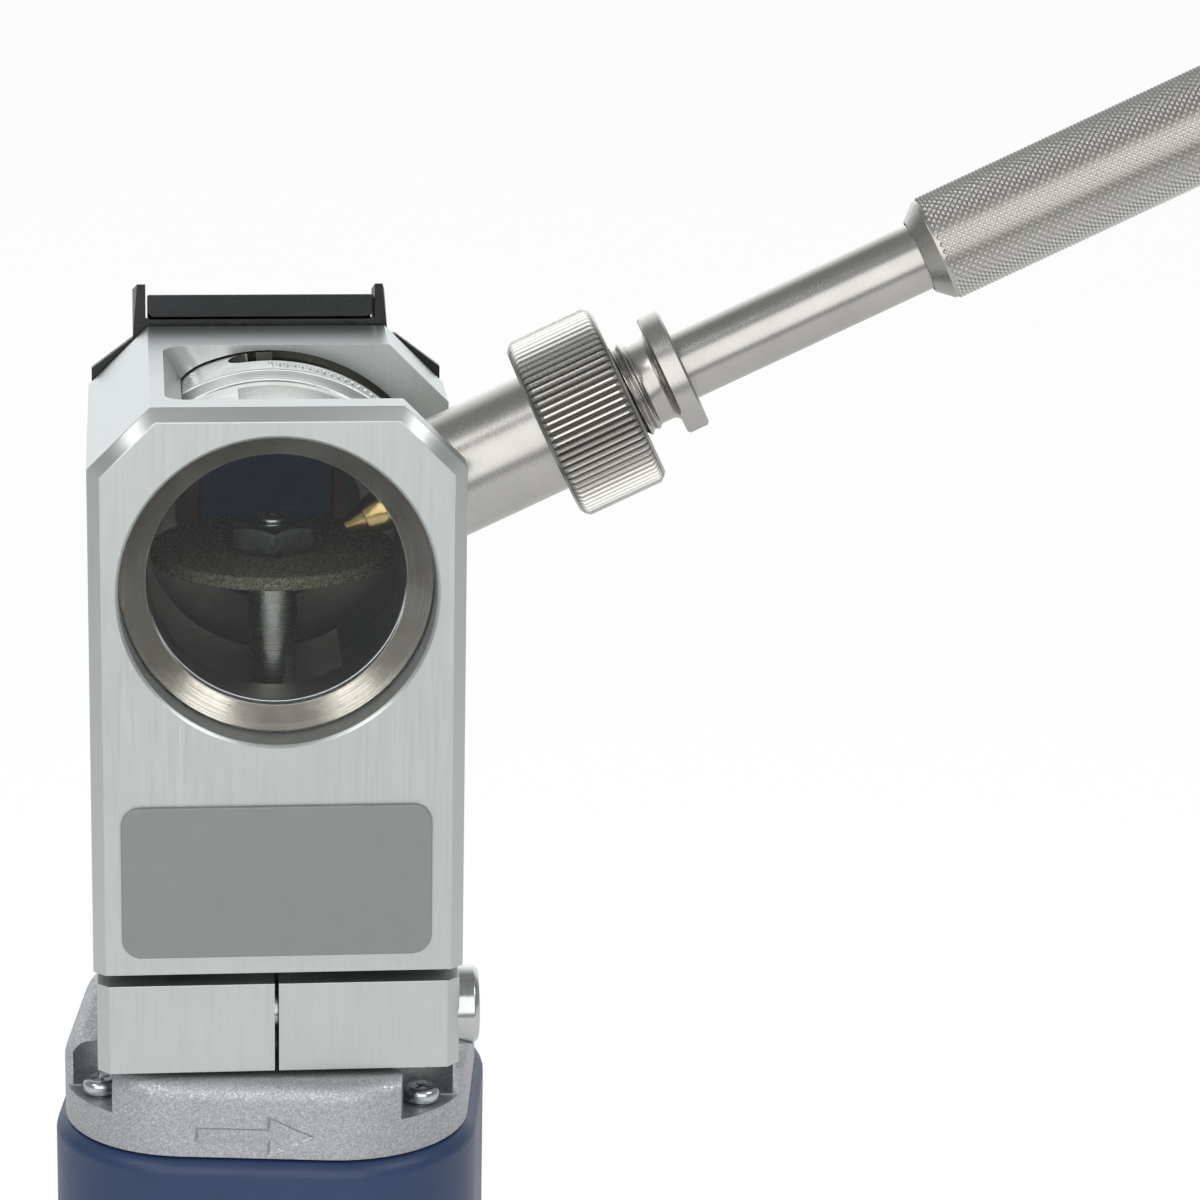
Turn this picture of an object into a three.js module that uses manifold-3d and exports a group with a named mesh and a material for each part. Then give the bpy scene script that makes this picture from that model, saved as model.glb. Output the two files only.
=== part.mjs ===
// A bench machine that grinds the tips of tungsten welding electrodes: an upright motor with
// a milled aluminium head clamped on its neck. A flat diamond disc turns inside the head, and
// a tube on a swivelling drum brings the electrode down to the disc at a chosen angle.
//
// Lengths are millimetres, angles are degrees and +Z is up. The motor turns about the Z axis,
// the window looks along -Y and the flat foot of the motor stands on Z = 0.

import * as THREE from 'three';
import { mergeVertices } from 'three/addons/utils/BufferGeometryUtils.js';
import Module from 'manifold-3d';

const wasm = await Module();
wasm.setup();

const GAP = 0.3; // air between two pieces that touch, slide or turn in each other
const CUT = 3; // how far a cutting body runs past the face it opens
const WELD = 0.0001; // two points closer than this are one point

// Motor, from the foot up. Its plan is a rounded square turned a little about Z.
const motorYaw = -7.1;
const foot = { height: 45, floor: 6, edge: 2, shrink: 1.5, lip: 0.4, bore: 28.5 };
const housing = { height: 179.4, bore: 28.7, web: 11.7, seat: 2.4, hole: 6, rim: 2.7 };
const gripPlan = { half: 33.9, corner: 30.5 };
const headPlan = { half: 35.8, corner: 22.8 };
const shoulder = { below: 74.4, height: 40, steps: 4 };
const flange = { height: 13.1, half: 34.9, corner: 22.2, shoulder: 3.3 };
const neck = { radius: 17.5, height: 31.7, bore: 9.5, roof: 7.4 };

// Head block and the clamp under it.
const block = { width: 60, depth: 60, height: 94.1, chamfer: 10, bevel: 2, backBevel: 0.8 };
const clamp = { height: 15.2, inset: 0.5, below: 0.8, groove: 1.9, hinge: 28 };
const slit = { width: 0.7, shift: -0.4 };
const colletRoom = { radius: 15, floorWall: 5 };
const spindleHole = 6;

// Drum, window and holder are laid out round one axis that runs front to back.
const drumAxisBelowTop = 30;
const win = { bore: 25.3, depth: 9, seat: 23, seatWall: 1.7, breakEdge: 0.5 };
const lens = { front: 6, flat: 20.9, rim: 0.9 };
// Places of the drum called inset are measured in from the block's rear face.
const drum = {
  tread: 28.8, front: 26.8, shoulderInset: 27.2, backInset: 6, bore: 20.8, boreInset: 18.5,
  chamber: 25, web: 2, port: 15.5,
};
const channel = { floor: 24.8, front: 13, back: 29.8, start: 102, end: -60 };
const groove = {
  floor: 26.8, frontInset: 21.3, backInset: 15.1, start: 98, end: 20, slotStart: 96, slotEnd: 84, slotWall: 1,
};
const marks = { radius: 0.55, depth: 0.5, inset: 24.3, first: 90, step: 2.5, count: 17, sides: 5 };
const mandrelSlot = { start: 190, end: 302, width: 21 };
const pocket = {
  front: 7, backInset: 15.1, left: 120.4, right: -18, shelf: 27, frontCorner: 3, backCorner: 4.5, strip: 6,
};
const ring = { thick: 2.6, bore: 18 };

// The electrode holder. Stations are distances from the drum axis along the tube.
const tubeAngle = 25.4;
const tubePlane = 21;
const tube = { radius: 10, end: 60, spigot: 7 };
const nut = { radius: 15.5, from: 48.5, to: 63.7, edge: 1.4, bevel: 1.2 };
const sleeve = {
  radius: 8, from: 45, to: 66.2, neck: 6.9, collar: 69.7, collarRadius: 10.2, thick: 3.8, flat: 9.3,
};
const sleeveFlatAngle = -42;
const holder = { radius: 5.6, nose: 5.4, noseTo: 40, from: 20.9, bore: 2.2 };
const grip = {
  radius: 8.9, from: 115.7, lip: 0.3, cone: 2.8, to: 200, overlap: 24, stub: 8, knob: 5, knobEdge: 1.5,
};
const nozzle = {
  tip: 12.75, tipRadius: 1.2, bore: 0.8, step: 16.4, stepRadius: 2.3, stepNext: 2.75,
  cone: 19, body: 3.6, stub: 3, stubLength: 6,
};

// Grinding disc on its mandrel, held by a collet in the spindle nose.
const disc = { radius: 20, thick: 2.3, rim: 0.3, recess: 8.8, recessDeep: 0.4 };
const mandrel = { radius: 4, stud: 2.7, centre: 1.1, centreDeep: 1.5, above: 0.8 };
const discNut = { acrossFlats: 13, height: 4.4 };
const nose = { radius: 8.2, height: 20 };
const collet = { radius: 5.9, height: 14, out: 2, slits: 3, slitWidth: 0.8, slitDeep: 10 };
const colletNut = { radius: 12, above: 2, height: 17.5, bevel: 2 };

// Inside the motor.
const shaft = { radius: 5, tail: 4 };
const rearBearing = { radius: 11, height: 7 };
const frontBearing = { radius: 13, height: 8 };
// Above is measured up from the underside of the housing, below is measured down from its top.
const commutator = { radius: 12, above: 26.7, height: 16, bars: 12, split: 0.6, splitDeep: 2 };
const armature = { radius: 20, above: 58.7, below: 76.7, slots: 12, slotWidth: 2.4, slotDeep: 5 };
const field = { above: 55.7, below: 73.7, coil: 9, coilRadius: 26 };
const fan = { radius: 26.5, below: 40.7, height: 13, plate: 2, hub: 9, blades: 9, blade: 1.6 };
const brushTube = { radius: 7, inner: 14, above: 34.7, capThick: 2.6 };
const brush = { wide: 6.2, high: 8.2, length: 14 };
const outlet = { count: 5, width: 2.4, pitch: 6, height: 15 };
const inlet = { count: 5, width: 2.4, pitch: 6, height: 20, above: 13 };
const ventHole = { radius: 4, circle: 20.5, count: 6 };
const bossCircle = { x: 17, y: 17, radius: 5.6 };

// Switch slider and cable gland in the foot.
const slider = { width: 16, height: 18, above: 14, thick: 2.6, travel: 5, stem: 6, rise: 1, ribs: 4, rib: 1 };
const switchBody = { width: 18, depth: 14, height: 27 };
const gland = { above: 17, radius: 7, collar: 9, collarThick: 2, length: 8, tip: 6, bore: 4.6 };

// Screws.
const flangeScrew = {
  x: 27, y: 16.4, head: 3, headHeight: 2.2, shank: 1.7, length: 16, notch: 6.3, notchDeep: 9.1,
};
const footScrew = { head: 3.4, headHeight: 2.6, shank: 1.9, length: 28, below: 19 };
const clampScrew = {
  head: 6.5, headHeight: 8, bevel: 0.8, shank: 3.7, proud: 3, hex: 6, hexDeep: 4,
};
const lockScrew = { radius: 2.5, below: 22, inset: 10, hex: 2.5, hexDeep: 2.5, sunk: 0.6 };
const cross = { length: 3.4, width: 0.7, deep: 1 };

// Name plate on the front, and the arrow cast into the flange.
const plate = { width: 50, height: 25.6, corner: 3.2, thick: 0.6, shift: -0.3, below: 78.2, gap: 0.1 };
const arrow = {
  tail: -9.8, neck: 0, tip: 9.6, shaftHalf: 1.35, headHalf: 3.7, aboveFoot: 4, line: 0.75, raise: 0.45,
};

// Sheet-metal filter holder on the back. Heights are taken from the block's top.
const sheet = 1.5;
const back = { side: 0.5, topSide: 8, top: -1.8, shoulder: -7.5, bottom: -88 };
const port = { half: 13.4, top: -16, bottom: -46 };
const fin = { left: -22.5, right: 20.6, thick: 2.2, top: 7, bottom: -70, lip: 4 };
const slide = { top: 5.2, lip: 4, corner: 1.2 };
const frame = { top: -0.2, open: 11.5, openTop: -12, openBottom: -50, thick: 5.5, fleeceInset: 1 };
const backScrew = { side: 3.8, high: -11.5, low: -80, head: 2.8, headHeight: 1.9, shank: 1.5, length: 8 };

// Levels and places that follow from the sizes above.
const housingFrom = foot.height + GAP;
const housingTo = housingFrom + housing.height;
const flangeFrom = housingTo + GAP;
const flangeTo = flangeFrom + flange.height;
const neckTo = flangeFrom + neck.height;
const clampFrom = flangeTo + clamp.below;
const clampTo = clampFrom + clamp.height;
const blockFrom = clampTo + clamp.groove;
const blockTo = blockFrom + block.height;
const blockFront = -block.depth / 2;
const drumZ = blockTo - drumAxisBelowTop;
const drumBore = drum.tread + GAP;
const drumBack = block.depth - drum.backInset;
const pocketBack = block.depth - pocket.backInset;
const backHalf = block.width / 2 - back.side;
const backTopHalf = block.width / 2 - back.topSide;
const clampScrewOut = block.width / 2 + clampScrew.proud;
const commutatorFrom = housingFrom + commutator.above;
const armatureFrom = housingFrom + armature.above;
const armatureTo = housingTo - armature.below;
const fieldFrom = housingFrom + field.above;
const fieldTo = housingTo - field.below;
const fanFrom = housingTo - fan.below;
const brushZ = housingFrom + brushTube.above;
const footScrewZ = foot.height - footScrew.below;
const drumFront = win.depth + win.seatWall + GAP;
const discTop = drumZ;
const discFrom = discTop - disc.thick;
const colletRoofZ = drumZ - drumBore - colletRoom.floorWall;
const tubeY = blockFront + tubePlane;
const neckBearingRoof = neckTo - neck.roof;
const noseFrom = neckBearingRoof + GAP;
const noseTo = noseFrom + nose.height;
const housingWebTo = housingFrom + housing.web;

const rad = THREE.MathUtils.degToRad;

// Turns a three.js geometry into a closed solid: points welded, empty faces dropped, faces outward.
function solid(geometry) {
  const bare = new THREE.BufferGeometry();
  bare.setAttribute('position', geometry.getAttribute('position'));
  bare.setIndex(geometry.index);
  const welded = mergeVertices(bare, WELD);
  const position = welded.getAttribute('position');
  const corner = (i) => new THREE.Vector3().fromBufferAttribute(position, i);
  const faces = [];
  let volume = 0;
  for (let i = 0; i < welded.index.count; i += 3) {
    const [a, b, c] = [0, 1, 2].map((k) => welded.index.getX(i + k));
    if (a !== b && b !== c && c !== a) {
      faces.push([a, b, c]);
      volume += corner(a).dot(corner(b).cross(corner(c)));
    }
  }
  const turnedFaces = volume < 0 ? faces.map(([a, b, c]) => [a, c, b]) : faces;
  return new wasm.Manifold(new wasm.Mesh({
    numProp: 3,
    vertProperties: Float32Array.from(position.array),
    triVerts: Uint32Array.from(turnedFaces.flat()),
  }));
}

function geometryOf(body) {
  const mesh = body.getMesh();
  const geometry = new THREE.BufferGeometry();
  geometry.setAttribute('position', new THREE.BufferAttribute(mesh.vertProperties, 3));
  geometry.setIndex(new THREE.BufferAttribute(mesh.triVerts, 1));
  return geometry;
}

const moved = (body, matrix) => body.transform(matrix.elements);
const addAll = (bodies) => bodies.reduce((sum, body) => sum.add(body));
const cutAll = (body, cuts) => cuts.reduce((rest, cut) => rest.subtract(cut), body);
const shift = (x, y, z) => new THREE.Matrix4().makeTranslation(x, y, z);
const aboutZ = (degrees) => new THREE.Matrix4().makeRotationZ(rad(degrees));

// The motor frame, turned about the motor axis.
const inMotor = aboutZ(motorYaw);
// A frame whose Z axis runs back along the drum axis, and whose origin is on the block's front.
const alongDrum = shift(0, blockFront, drumZ).multiply(new THREE.Matrix4().makeRotationX(rad(-90)));
// A frame whose Z axis runs out along the electrode holder, from the drum axis.
const alongTube = shift(0, tubeY, drumZ).multiply(new THREE.Matrix4().makeRotationY(rad(90 - tubeAngle)));
// Frames whose Z axis runs along +X or +Y.
const alongX = new THREE.Matrix4().makeRotationY(rad(90));
const alongY = new THREE.Matrix4().makeRotationX(rad(-90));

// A body of revolution about Z; the profile is a list of [radius, height].
function turned(profile, segments = 32) {
  const closed = profile[0][0] > 0 || profile.at(-1)[0] > 0;
  const points = (closed ? [...profile, profile[0]] : profile).map(([r, h]) => new THREE.Vector2(r, h));
  return moved(solid(new THREE.LatheGeometry(points, segments)), new THREE.Matrix4().makeRotationX(rad(90)));
}

const rod = (radius, from, to, segments = 24) => turned(
  [[0, from], [radius, from], [radius, to], [0, to]], segments);

const pipe = (inner, outer, from, to, segments = 32) => turned(
  [[inner, from], [outer, from], [outer, to], [inner, to]], segments);

function box([x0, x1], [y0, y1], [z0, z1]) {
  const geometry = new THREE.BoxGeometry(x1 - x0, y1 - y0, z1 - z0);
  return solid(geometry.translate((x0 + x1) / 2, (y0 + y1) / 2, (z0 + z1) / 2));
}

// A flat outline of [x, y] points, with any holes, raised from one height to another.
function raised(outline, from, to, holes = []) {
  const path = (points) => points.map(([x, y]) => new THREE.Vector2(x, y));
  const rim = path(outline);
  const shape = new THREE.Shape(THREE.ShapeUtils.isClockWise(rim) ? rim.reverse() : rim);
  shape.holes = holes.map((hole) => new THREE.Path(path(hole)));
  const geometry = new THREE.ExtrudeGeometry(shape, { depth: to - from, bevelEnabled: false });
  return solid(geometry.translate(0, 0, from));
}

// An outline of [x, z] points seen from the front, run back from y0 to y1.
const faced = (outline, [y0, y1], holes = []) => {
  const flip = (points) => points.map(([x, z]) => [x, -z]);
  return moved(raised(flip(outline), y0, y1, holes.map(flip)), alongY);
};

const arc = (radius, from, to, steps) => Array.from({ length: steps + 1 }, (_, i) => {
  const angle = rad(from + ((to - from) * i) / steps);
  return [radius * Math.cos(angle), radius * Math.sin(angle)];
});

// A rectangle with round corners, centred on x, y.
function roundedBox(width, height, corner, x = 0, y = 0, steps = 4) {
  const centres = [[1, 1, 0], [-1, 1, 90], [-1, -1, 180], [1, -1, 270]];
  return centres.flatMap(([sx, sy, start]) => arc(corner, start, start + 90, steps).map(([px, py]) => [
    x + sx * (width / 2 - corner) + px,
    y + sy * (height / 2 - corner) + py,
  ]));
}

// A skin drawn over level outlines that all have the same number of points.
function lofted(rings) {
  const count = rings[0].points.length;
  const points = rings.flatMap(({ z, points: ring }) => ring.map(([x, y]) => [x, y, z]));
  const index = [];
  for (let level = 0; level < rings.length - 1; level += 1) {
    for (let i = 0; i < count; i += 1) {
      const next = (i + 1) % count;
      const [a, b] = [level * count + i, level * count + next];
      index.push(a, b, b + count, a, b + count, a + count);
    }
  }
  const last = (rings.length - 1) * count;
  for (let i = 1; i < count - 1; i += 1) {
    index.push(0, i + 1, i, last, last + i, last + i + 1);
  }
  const geometry = new THREE.BufferGeometry();
  geometry.setAttribute('position', new THREE.Float32BufferAttribute(points.flat(), 3));
  geometry.setIndex(index);
  return solid(geometry);
}

// The motor's plan at one level, pulled in by an even amount.
const planRing = (z, plan, pull = 0, steps = 5) => ({
  z,
  points: roundedBox(2 * (plan.half - pull), 2 * (plan.half - pull), plan.corner - pull, 0, 0, steps),
});

// The same cut or rib repeated at even turns about Z.
const aroundZ = (count, body) => Array.from(
  { length: count }, (_, i) => moved(body, aboutZ((360 * i) / count)));

// Bodies side by side in an even row along X.
const row = (count, pitch, body) => Array.from(
  { length: count }, (_, i) => moved(body, shift((i - (count - 1) / 2) * pitch, 0, 0)));

// A slice of a ring seen from the front, between two azimuths about the drum axis.
function sector(inner, outer, [a0, a1], [y0, y1], steps) {
  const outline = [...arc(outer, a0, a1, steps), ...arc(inner, a1, a0, steps)];
  return moved(faced(outline, [y0, y1]), shift(0, blockFront, drumZ));
}

// The cross-shaped recess of a screw head whose top is at a height.
function crossRecess(top) {
  const half = [-cross.length / 2, cross.length / 2];
  const thin = [-cross.width / 2, cross.width / 2];
  const deep = [top - cross.deep, top + CUT];
  return box(half, thin, deep).add(box(thin, half, deep));
}

// A pan-head screw along Z, with the underside of its head at height zero.
function panScrew({ head, headHeight, shank, length }) {
  const dome = arc(1, 0, 90, 2).map(([c, s]) => [
    head - headHeight / 2 + (headHeight / 2) * c,
    headHeight / 2 + (headHeight / 2) * s,
  ]);
  const profile = [[0, -length], [shank, -length], [shank, 0], [head, 0], ...dome, [0, headHeight]];
  return turned(profile, 14).subtract(crossRecess(headHeight));
}

const hexagon = (acrossFlats, start = 0) => arc(acrossFlats / Math.sqrt(3), start, start + 300, 5);

const cylinderAlongDrum = (radius, from, to, segments = 60) => moved(
  rod(radius, from, to, segments), alongDrum);
// A frame on the drum axis whose Z axis points outward at an azimuth and whose Y axis runs back.
const outwardAt = (azimuth) => shift(0, blockFront, drumZ)
  .multiply(new THREE.Matrix4().makeRotationY(rad(90 - azimuth)));

function blockShell() {
  const outline = (inset) => {
    const side = block.width / 2 - inset;
    const slope = inset * (Math.SQRT2 - 1);
    const edge = block.width / 2 - block.chamfer - slope;
    const low = blockTo - block.chamfer - slope;
    const top = blockTo - inset;
    return [[-side, blockFrom], [side, blockFrom], [side, low], [edge, top], [-edge, top], [-side, low]];
  };
  const levels = [
    [0, block.bevel],
    [block.bevel, 0],
    [block.depth - block.backBevel, 0],
    [block.depth, block.backBevel],
  ];
  const rings = levels.map(([y, inset]) => ({
    z: blockFront + y,
    points: outline(inset).map(([x, z]) => [x, -z]),
  }));
  return moved(lofted(rings), alongY);
}

function clampShell() {
  const half = block.width / 2 - clamp.inset;
  const deep = block.depth / 2;
  const bevel = block.bevel;
  const outline = [
    [-half, bevel - deep], [bevel - half, -deep], [half - bevel, -deep], [half, bevel - deep],
    [half, deep - bevel], [half - bevel, deep], [bevel - half, deep], [-half, deep - bevel],
  ];
  const hinge = box(
    [-half, half], [blockFront + clamp.hinge, deep - bevel], [clampTo - CUT, blockFrom + CUT]);
  return raised(outline, clampFrom, clampTo).add(hinge);
}

// The window bore, its seat and the bore that the drum turns in, as one stepped cut.
function windowCut() {
  const mouth = win.bore + win.breakEdge + CUT;
  const seatTo = win.depth + win.seatWall;
  const end = block.depth + CUT;
  return moved(turned([
    [0, -CUT], [mouth, -CUT], [win.bore, win.breakEdge], [win.bore, win.depth],
    [win.seat, win.depth], [win.seat, seatTo], [drumBore, seatTo], [drumBore, end], [0, end],
  ], 60), alongDrum);
}

// The opening in the block's top and right side that the holder swings in.
function pocketCut() {
  const { front, frontCorner, backCorner, strip } = pocket;
  const rear = pocketBack;
  const far = block.width;
  const corners = [
    [strip, front],
    ...arc(frontCorner, 270, 180, 5).map(([x, y]) => [frontCorner + x, front + frontCorner + y]),
    ...arc(backCorner, 180, 90, 6).map(([x, y]) => [backCorner + x, rear - backCorner + y]),
    [strip, rear],
  ];
  const wall = moved(raised(corners, 0, far), outwardAt(pocket.left));
  const angle = rad(pocket.left);
  const along = (t, r) => [
    t * Math.sin(angle) + r * Math.cos(angle),
    r * Math.sin(angle) - t * Math.cos(angle),
  ];
  const wedge = [
    [0, 0], along(backCorner, 0), along(backCorner, far), [far, far],
    [far, far * Math.tan(rad(pocket.right))],
  ];
  const open = moved(faced(wedge, [front, rear]), shift(0, blockFront, drumZ));
  return wall.add(open).subtract(cylinderAlongDrum(pocket.shelf, 0, block.depth));
}

const clampScrewY = -neck.radius - GAP - clampScrew.shank;
const clampScrewAt = shift(0, clampScrewY, (clampFrom + clampTo) / 2).multiply(alongX);
const lockScrewTip = Math.sqrt(drum.tread ** 2 - (lockScrew.below - lockScrew.radius) ** 2) + GAP;
const lockScrewAt = shift(0, block.depth / 2 - lockScrew.inset, drumZ - lockScrew.below)
  .multiply(new THREE.Matrix4().makeRotationY(rad(-90)));
const plateBack = block.depth / 2 + GAP + sheet;
const backScrewPlaces = [-1, 1].flatMap((side) => [backScrew.high, backScrew.low].map(
  (z) => shift(side * (block.width / 2 - backScrew.side), plateBack + GAP, blockTo + z).multiply(alongY)));

function headBlock() {
  const half = block.width / 2;
  const hole = clampScrew.shank + GAP;
  const cuts = [
    rod(neck.radius + GAP, clampFrom - CUT, neckTo + GAP, 40),
    rod(colletRoom.radius, neckTo, colletRoofZ, 32),
    rod(spindleHole, colletRoofZ - CUT, drumZ),
    windowCut(),
    pocketCut(),
    box([slit.shift - slit.width / 2, slit.shift + slit.width / 2], [blockFront - CUT, 0],
      [clampFrom - CUT, blockFrom]),
    moved(rod(hole, -half - CUT, half + CUT, 16), clampScrewAt),
    moved(rod(clampScrew.head + GAP, clampScrewOut - clampScrew.headHeight - GAP, half + CUT), clampScrewAt),
    moved(rod(lockScrew.radius + GAP, lockScrewTip - CUT, half + CUT, 14), lockScrewAt),
    ...backScrewPlaces.map((at) => moved(rod(backScrew.shank + GAP, -backScrew.length - CUT, 0, 10), at)),
  ];
  return cutAll(blockShell().add(clampShell()), cuts);
}

// The window is flat in front. Its rear edge is bevelled, which shows through it as a bright ring.
function windowLens() {
  const radius = win.bore - GAP;
  const rear = win.depth - GAP;
  return moved(turned(
    [[0, lens.front], [radius, lens.front], [radius, lens.front + lens.rim], [lens.flat, rear], [0, rear]],
    60), alongDrum);
}

function namePlate() {
  const outline = roundedBox(plate.width, plate.height, plate.corner, plate.shift, blockTo - plate.below);
  const rear = blockFront - plate.gap;
  return faced(outline, [rear - plate.thick, rear]);
}

function clampScrewBody() {
  const { head, headHeight, bevel, shank: core } = clampScrew;
  const out = clampScrewOut;
  const under = out - headHeight;
  const body = turned([
    [0, clamp.inset - block.width / 2], [core, clamp.inset - block.width / 2], [core, under],
    [head, under], [head, out - bevel], [head - bevel, out], [0, out],
  ], 32);
  const socket = raised(hexagon(clampScrew.hex), out - clampScrew.hexDeep, out + CUT);
  return moved(body.subtract(socket), clampScrewAt);
}

function lockScrewBody() {
  const out = block.width / 2 - lockScrew.sunk;
  const socket = raised(hexagon(lockScrew.hex), out - lockScrew.hexDeep, out + CUT);
  return moved(rod(lockScrew.radius, lockScrewTip, out, 20).subtract(socket), lockScrewAt);
}

// The turned drum: two treads, a groove and a row of marks on the rear one, a channel in the
// front one, a seat and a hole for the guide tube and a slot for the mandrel.
function swivelDrum() {
  const { tread, front, bore, chamber, web, port: hole } = drum;
  const rear = drumBack;
  const step = block.depth - drum.shoulderInset;
  const boreBack = block.depth - drum.boreInset;
  const body = moved(turned([
    [bore, drumFront], [front, drumFront], [front, step], [tread, step], [tread, rear],
    [hole, rear], [hole, rear - web], [chamber, rear - web], [chamber, boreBack], [bore, boreBack],
  ], 60), alongDrum);
  const grooveY = [block.depth - groove.frontInset, block.depth - groove.backInset];
  const grooveHalf = (groove.frontInset - groove.backInset) / 2;
  const grooveEnd = shift(0, grooveY[0] + grooveHalf, 0);
  const centre = block.depth / 2;
  const slotY = [grooveY[0] + groove.slotWall, grooveY[1] - groove.slotWall];
  const cuts = [
    sector(channel.floor, front + CUT, [channel.start, channel.end], [channel.front, channel.back], 27),
    sector(groove.floor, tread + CUT, [groove.start, groove.end], grooveY, 13),
    moved(rod(grooveHalf, groove.floor, tread + CUT, 16), outwardAt(groove.start).multiply(grooveEnd)),
    sector(bore - CUT, tread + CUT, [groove.slotStart, groove.slotEnd], slotY, 2),
    sector(bore - CUT, tread + CUT, [mandrelSlot.start, mandrelSlot.end],
      [centre - mandrelSlot.width / 2, centre + mandrelSlot.width / 2], 18),
    moved(rod(tube.spigot + GAP, 0, tread + CUT), alongTube),
    moved(rod(tube.radius + GAP, 0, tread + CUT, 36), alongTube)
      .subtract(cylinderAlongDrum(channel.floor, 0, block.depth)),
  ];
  const mark = turned([
    [0, tread - marks.depth], [marks.radius, tread], [marks.radius, tread + CUT], [0, tread + CUT],
  ], marks.sides);
  const markY = block.depth - marks.inset;
  for (let i = 0; i < marks.count; i += 1) {
    cuts.push(moved(mark, outwardAt(marks.first - i * marks.step).multiply(shift(0, markY, 0))));
  }
  return cutAll(body, cuts);
}

function drumRetainer() {
  const from = drumBack + GAP;
  return moved(pipe(ring.bore, drum.tread, from, from + ring.thick, 48), alongDrum);
}

function guideTube() {
  const outer = moved(rod(tube.radius, 0, tube.end, 36), alongTube)
    .subtract(cylinderAlongDrum(channel.floor + GAP, 0, block.depth));
  const spigot = moved(rod(tube.spigot, 0, channel.floor + CUT), alongTube)
    .subtract(cylinderAlongDrum(drum.bore + GAP, 0, block.depth));
  const bores = [
    moved(rod(holder.radius + GAP, 0, tube.end + CUT), alongTube),
    moved(rod(sleeve.radius + GAP, sleeve.from - GAP, tube.end + CUT), alongTube),
  ];
  return cutAll(outer.add(spigot), bores);
}

function clampNutBody() {
  const inner = tube.radius + GAP;
  const mouth = sleeve.radius + GAP;
  const { radius, from, to, edge, bevel } = nut;
  return moved(turned([
    [inner, from], [radius - edge, from], [radius, from + bevel], [radius, to - bevel],
    [radius - edge, to], [mouth, to], [mouth, tube.end + GAP], [inner, tube.end + GAP],
  ], 48), alongTube);
}

function adjustingSleeve() {
  const bore = holder.radius + GAP;
  const { radius, from, to, neck: waist, collar, collarRadius, thick, flat } = sleeve;
  const body = turned([
    [bore, from], [radius, from], [radius, to], [waist, to], [waist, collar],
    [collarRadius, collar], [collarRadius, collar + thick], [bore, collar + thick],
  ]);
  const reach = collarRadius + CUT;
  const side = box([flat, reach], [-reach, reach], [collar - CUT, collar + thick + CUT]);
  const flats = [0, 180].map((turn) => moved(side, aboutZ(sleeveFlatAngle + turn)));
  return moved(cutAll(body, flats), alongTube);
}

function holderTube() {
  const { radius, nose: thin, noseTo: step, from, bore } = holder;
  const socket = nozzle.stub + GAP;
  const socketTo = from + nozzle.stubLength + GAP;
  const end = grip.from + grip.overlap;
  return moved(turned([
    [socket, from], [thin, from], [thin, step], [radius, step], [radius, end],
    [bore, end], [bore, socketTo], [socket, socketTo],
  ], 28), alongTube);
}

function handleGrip() {
  const bore = holder.radius + GAP;
  return moved(turned([
    [bore, grip.from], [bore + grip.lip, grip.from], [grip.radius, grip.from + grip.cone],
    [grip.radius, grip.to], [bore, grip.to],
  ], 32), alongTube);
}

function handleCap() {
  const seat = grip.to + GAP;
  const end = seat + grip.knob;
  return moved(turned([
    [0, grip.to - grip.stub], [holder.radius, grip.to - grip.stub], [holder.radius, seat],
    [grip.radius, seat], [grip.radius, end - grip.knobEdge], [grip.radius - grip.knobEdge, end], [0, end],
  ], 32), alongTube);
}

function electrodeNozzle() {
  const { tip, tipRadius, bore, step, stepRadius, stepNext, cone, body, stub, stubLength } = nozzle;
  const seat = holder.from - GAP;
  return moved(turned([
    [bore, tip], [tipRadius, tip], [stepRadius, step], [stepNext, step], [body, cone], [body, seat],
    [stub, seat], [stub, holder.from + stubLength], [bore, holder.from + stubLength],
  ], 20), alongTube);
}

const discNutFrom = discTop - disc.recessDeep + GAP;
const discNutTo = discNutFrom + discNut.height;
const colletFrom = noseTo + collet.out - collet.height;
const colletTo = noseTo + collet.out;

function grindingDisc() {
  const hole = mandrel.stud + GAP;
  const { radius, rim, recess, recessDeep } = disc;
  return turned([
    [hole, discFrom], [radius - rim, discFrom], [radius, discFrom + rim], [radius, discTop - rim],
    [radius - rim, discTop], [recess, discTop], [recess, discTop - recessDeep], [hole, discTop - recessDeep],
  ], 48);
}

function discMandrel() {
  const top = discNutTo + mandrel.above;
  return turned([
    [0, colletFrom + GAP], [mandrel.radius, colletFrom + GAP], [mandrel.radius, discFrom - GAP],
    [mandrel.stud, discFrom - GAP], [mandrel.stud, top], [mandrel.centre, top],
    [0, top - mandrel.centreDeep],
  ], 20);
}

function discNutBody() {
  const hole = rod(mandrel.stud + GAP, discNutFrom - CUT, discNutTo + CUT, 18);
  return raised(hexagon(discNut.acrossFlats, -90), discNutFrom, discNutTo).subtract(hole);
}

function colletBody() {
  const half = collet.slitWidth / 2;
  const cut = box([0, collet.radius + CUT], [-half, half], [colletTo - collet.slitDeep, colletTo + CUT]);
  return cutAll(
    pipe(mandrel.radius + GAP, collet.radius, colletFrom, colletTo, 24), aroundZ(collet.slits, cut));
}

function colletNutBody() {
  const from = neckTo + colletNut.above;
  const to = from + colletNut.height;
  const thread = nose.radius + GAP;
  const cone = collet.radius + GAP;
  const mouth = mandrel.radius + GAP;
  const { radius, bevel } = colletNut;
  return turned([
    [thread, from], [radius, from], [radius, to - bevel], [radius - bevel, to], [mouth, to],
    [mouth, colletTo + GAP], [cone, colletTo + GAP], [cone, noseTo + GAP], [thread, noseTo + GAP],
  ], 24);
}

const rearBearingFrom = housingFrom + housing.seat + GAP;
const frontBearingFrom = neckBearingRoof - GAP - frontBearing.height;

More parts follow.
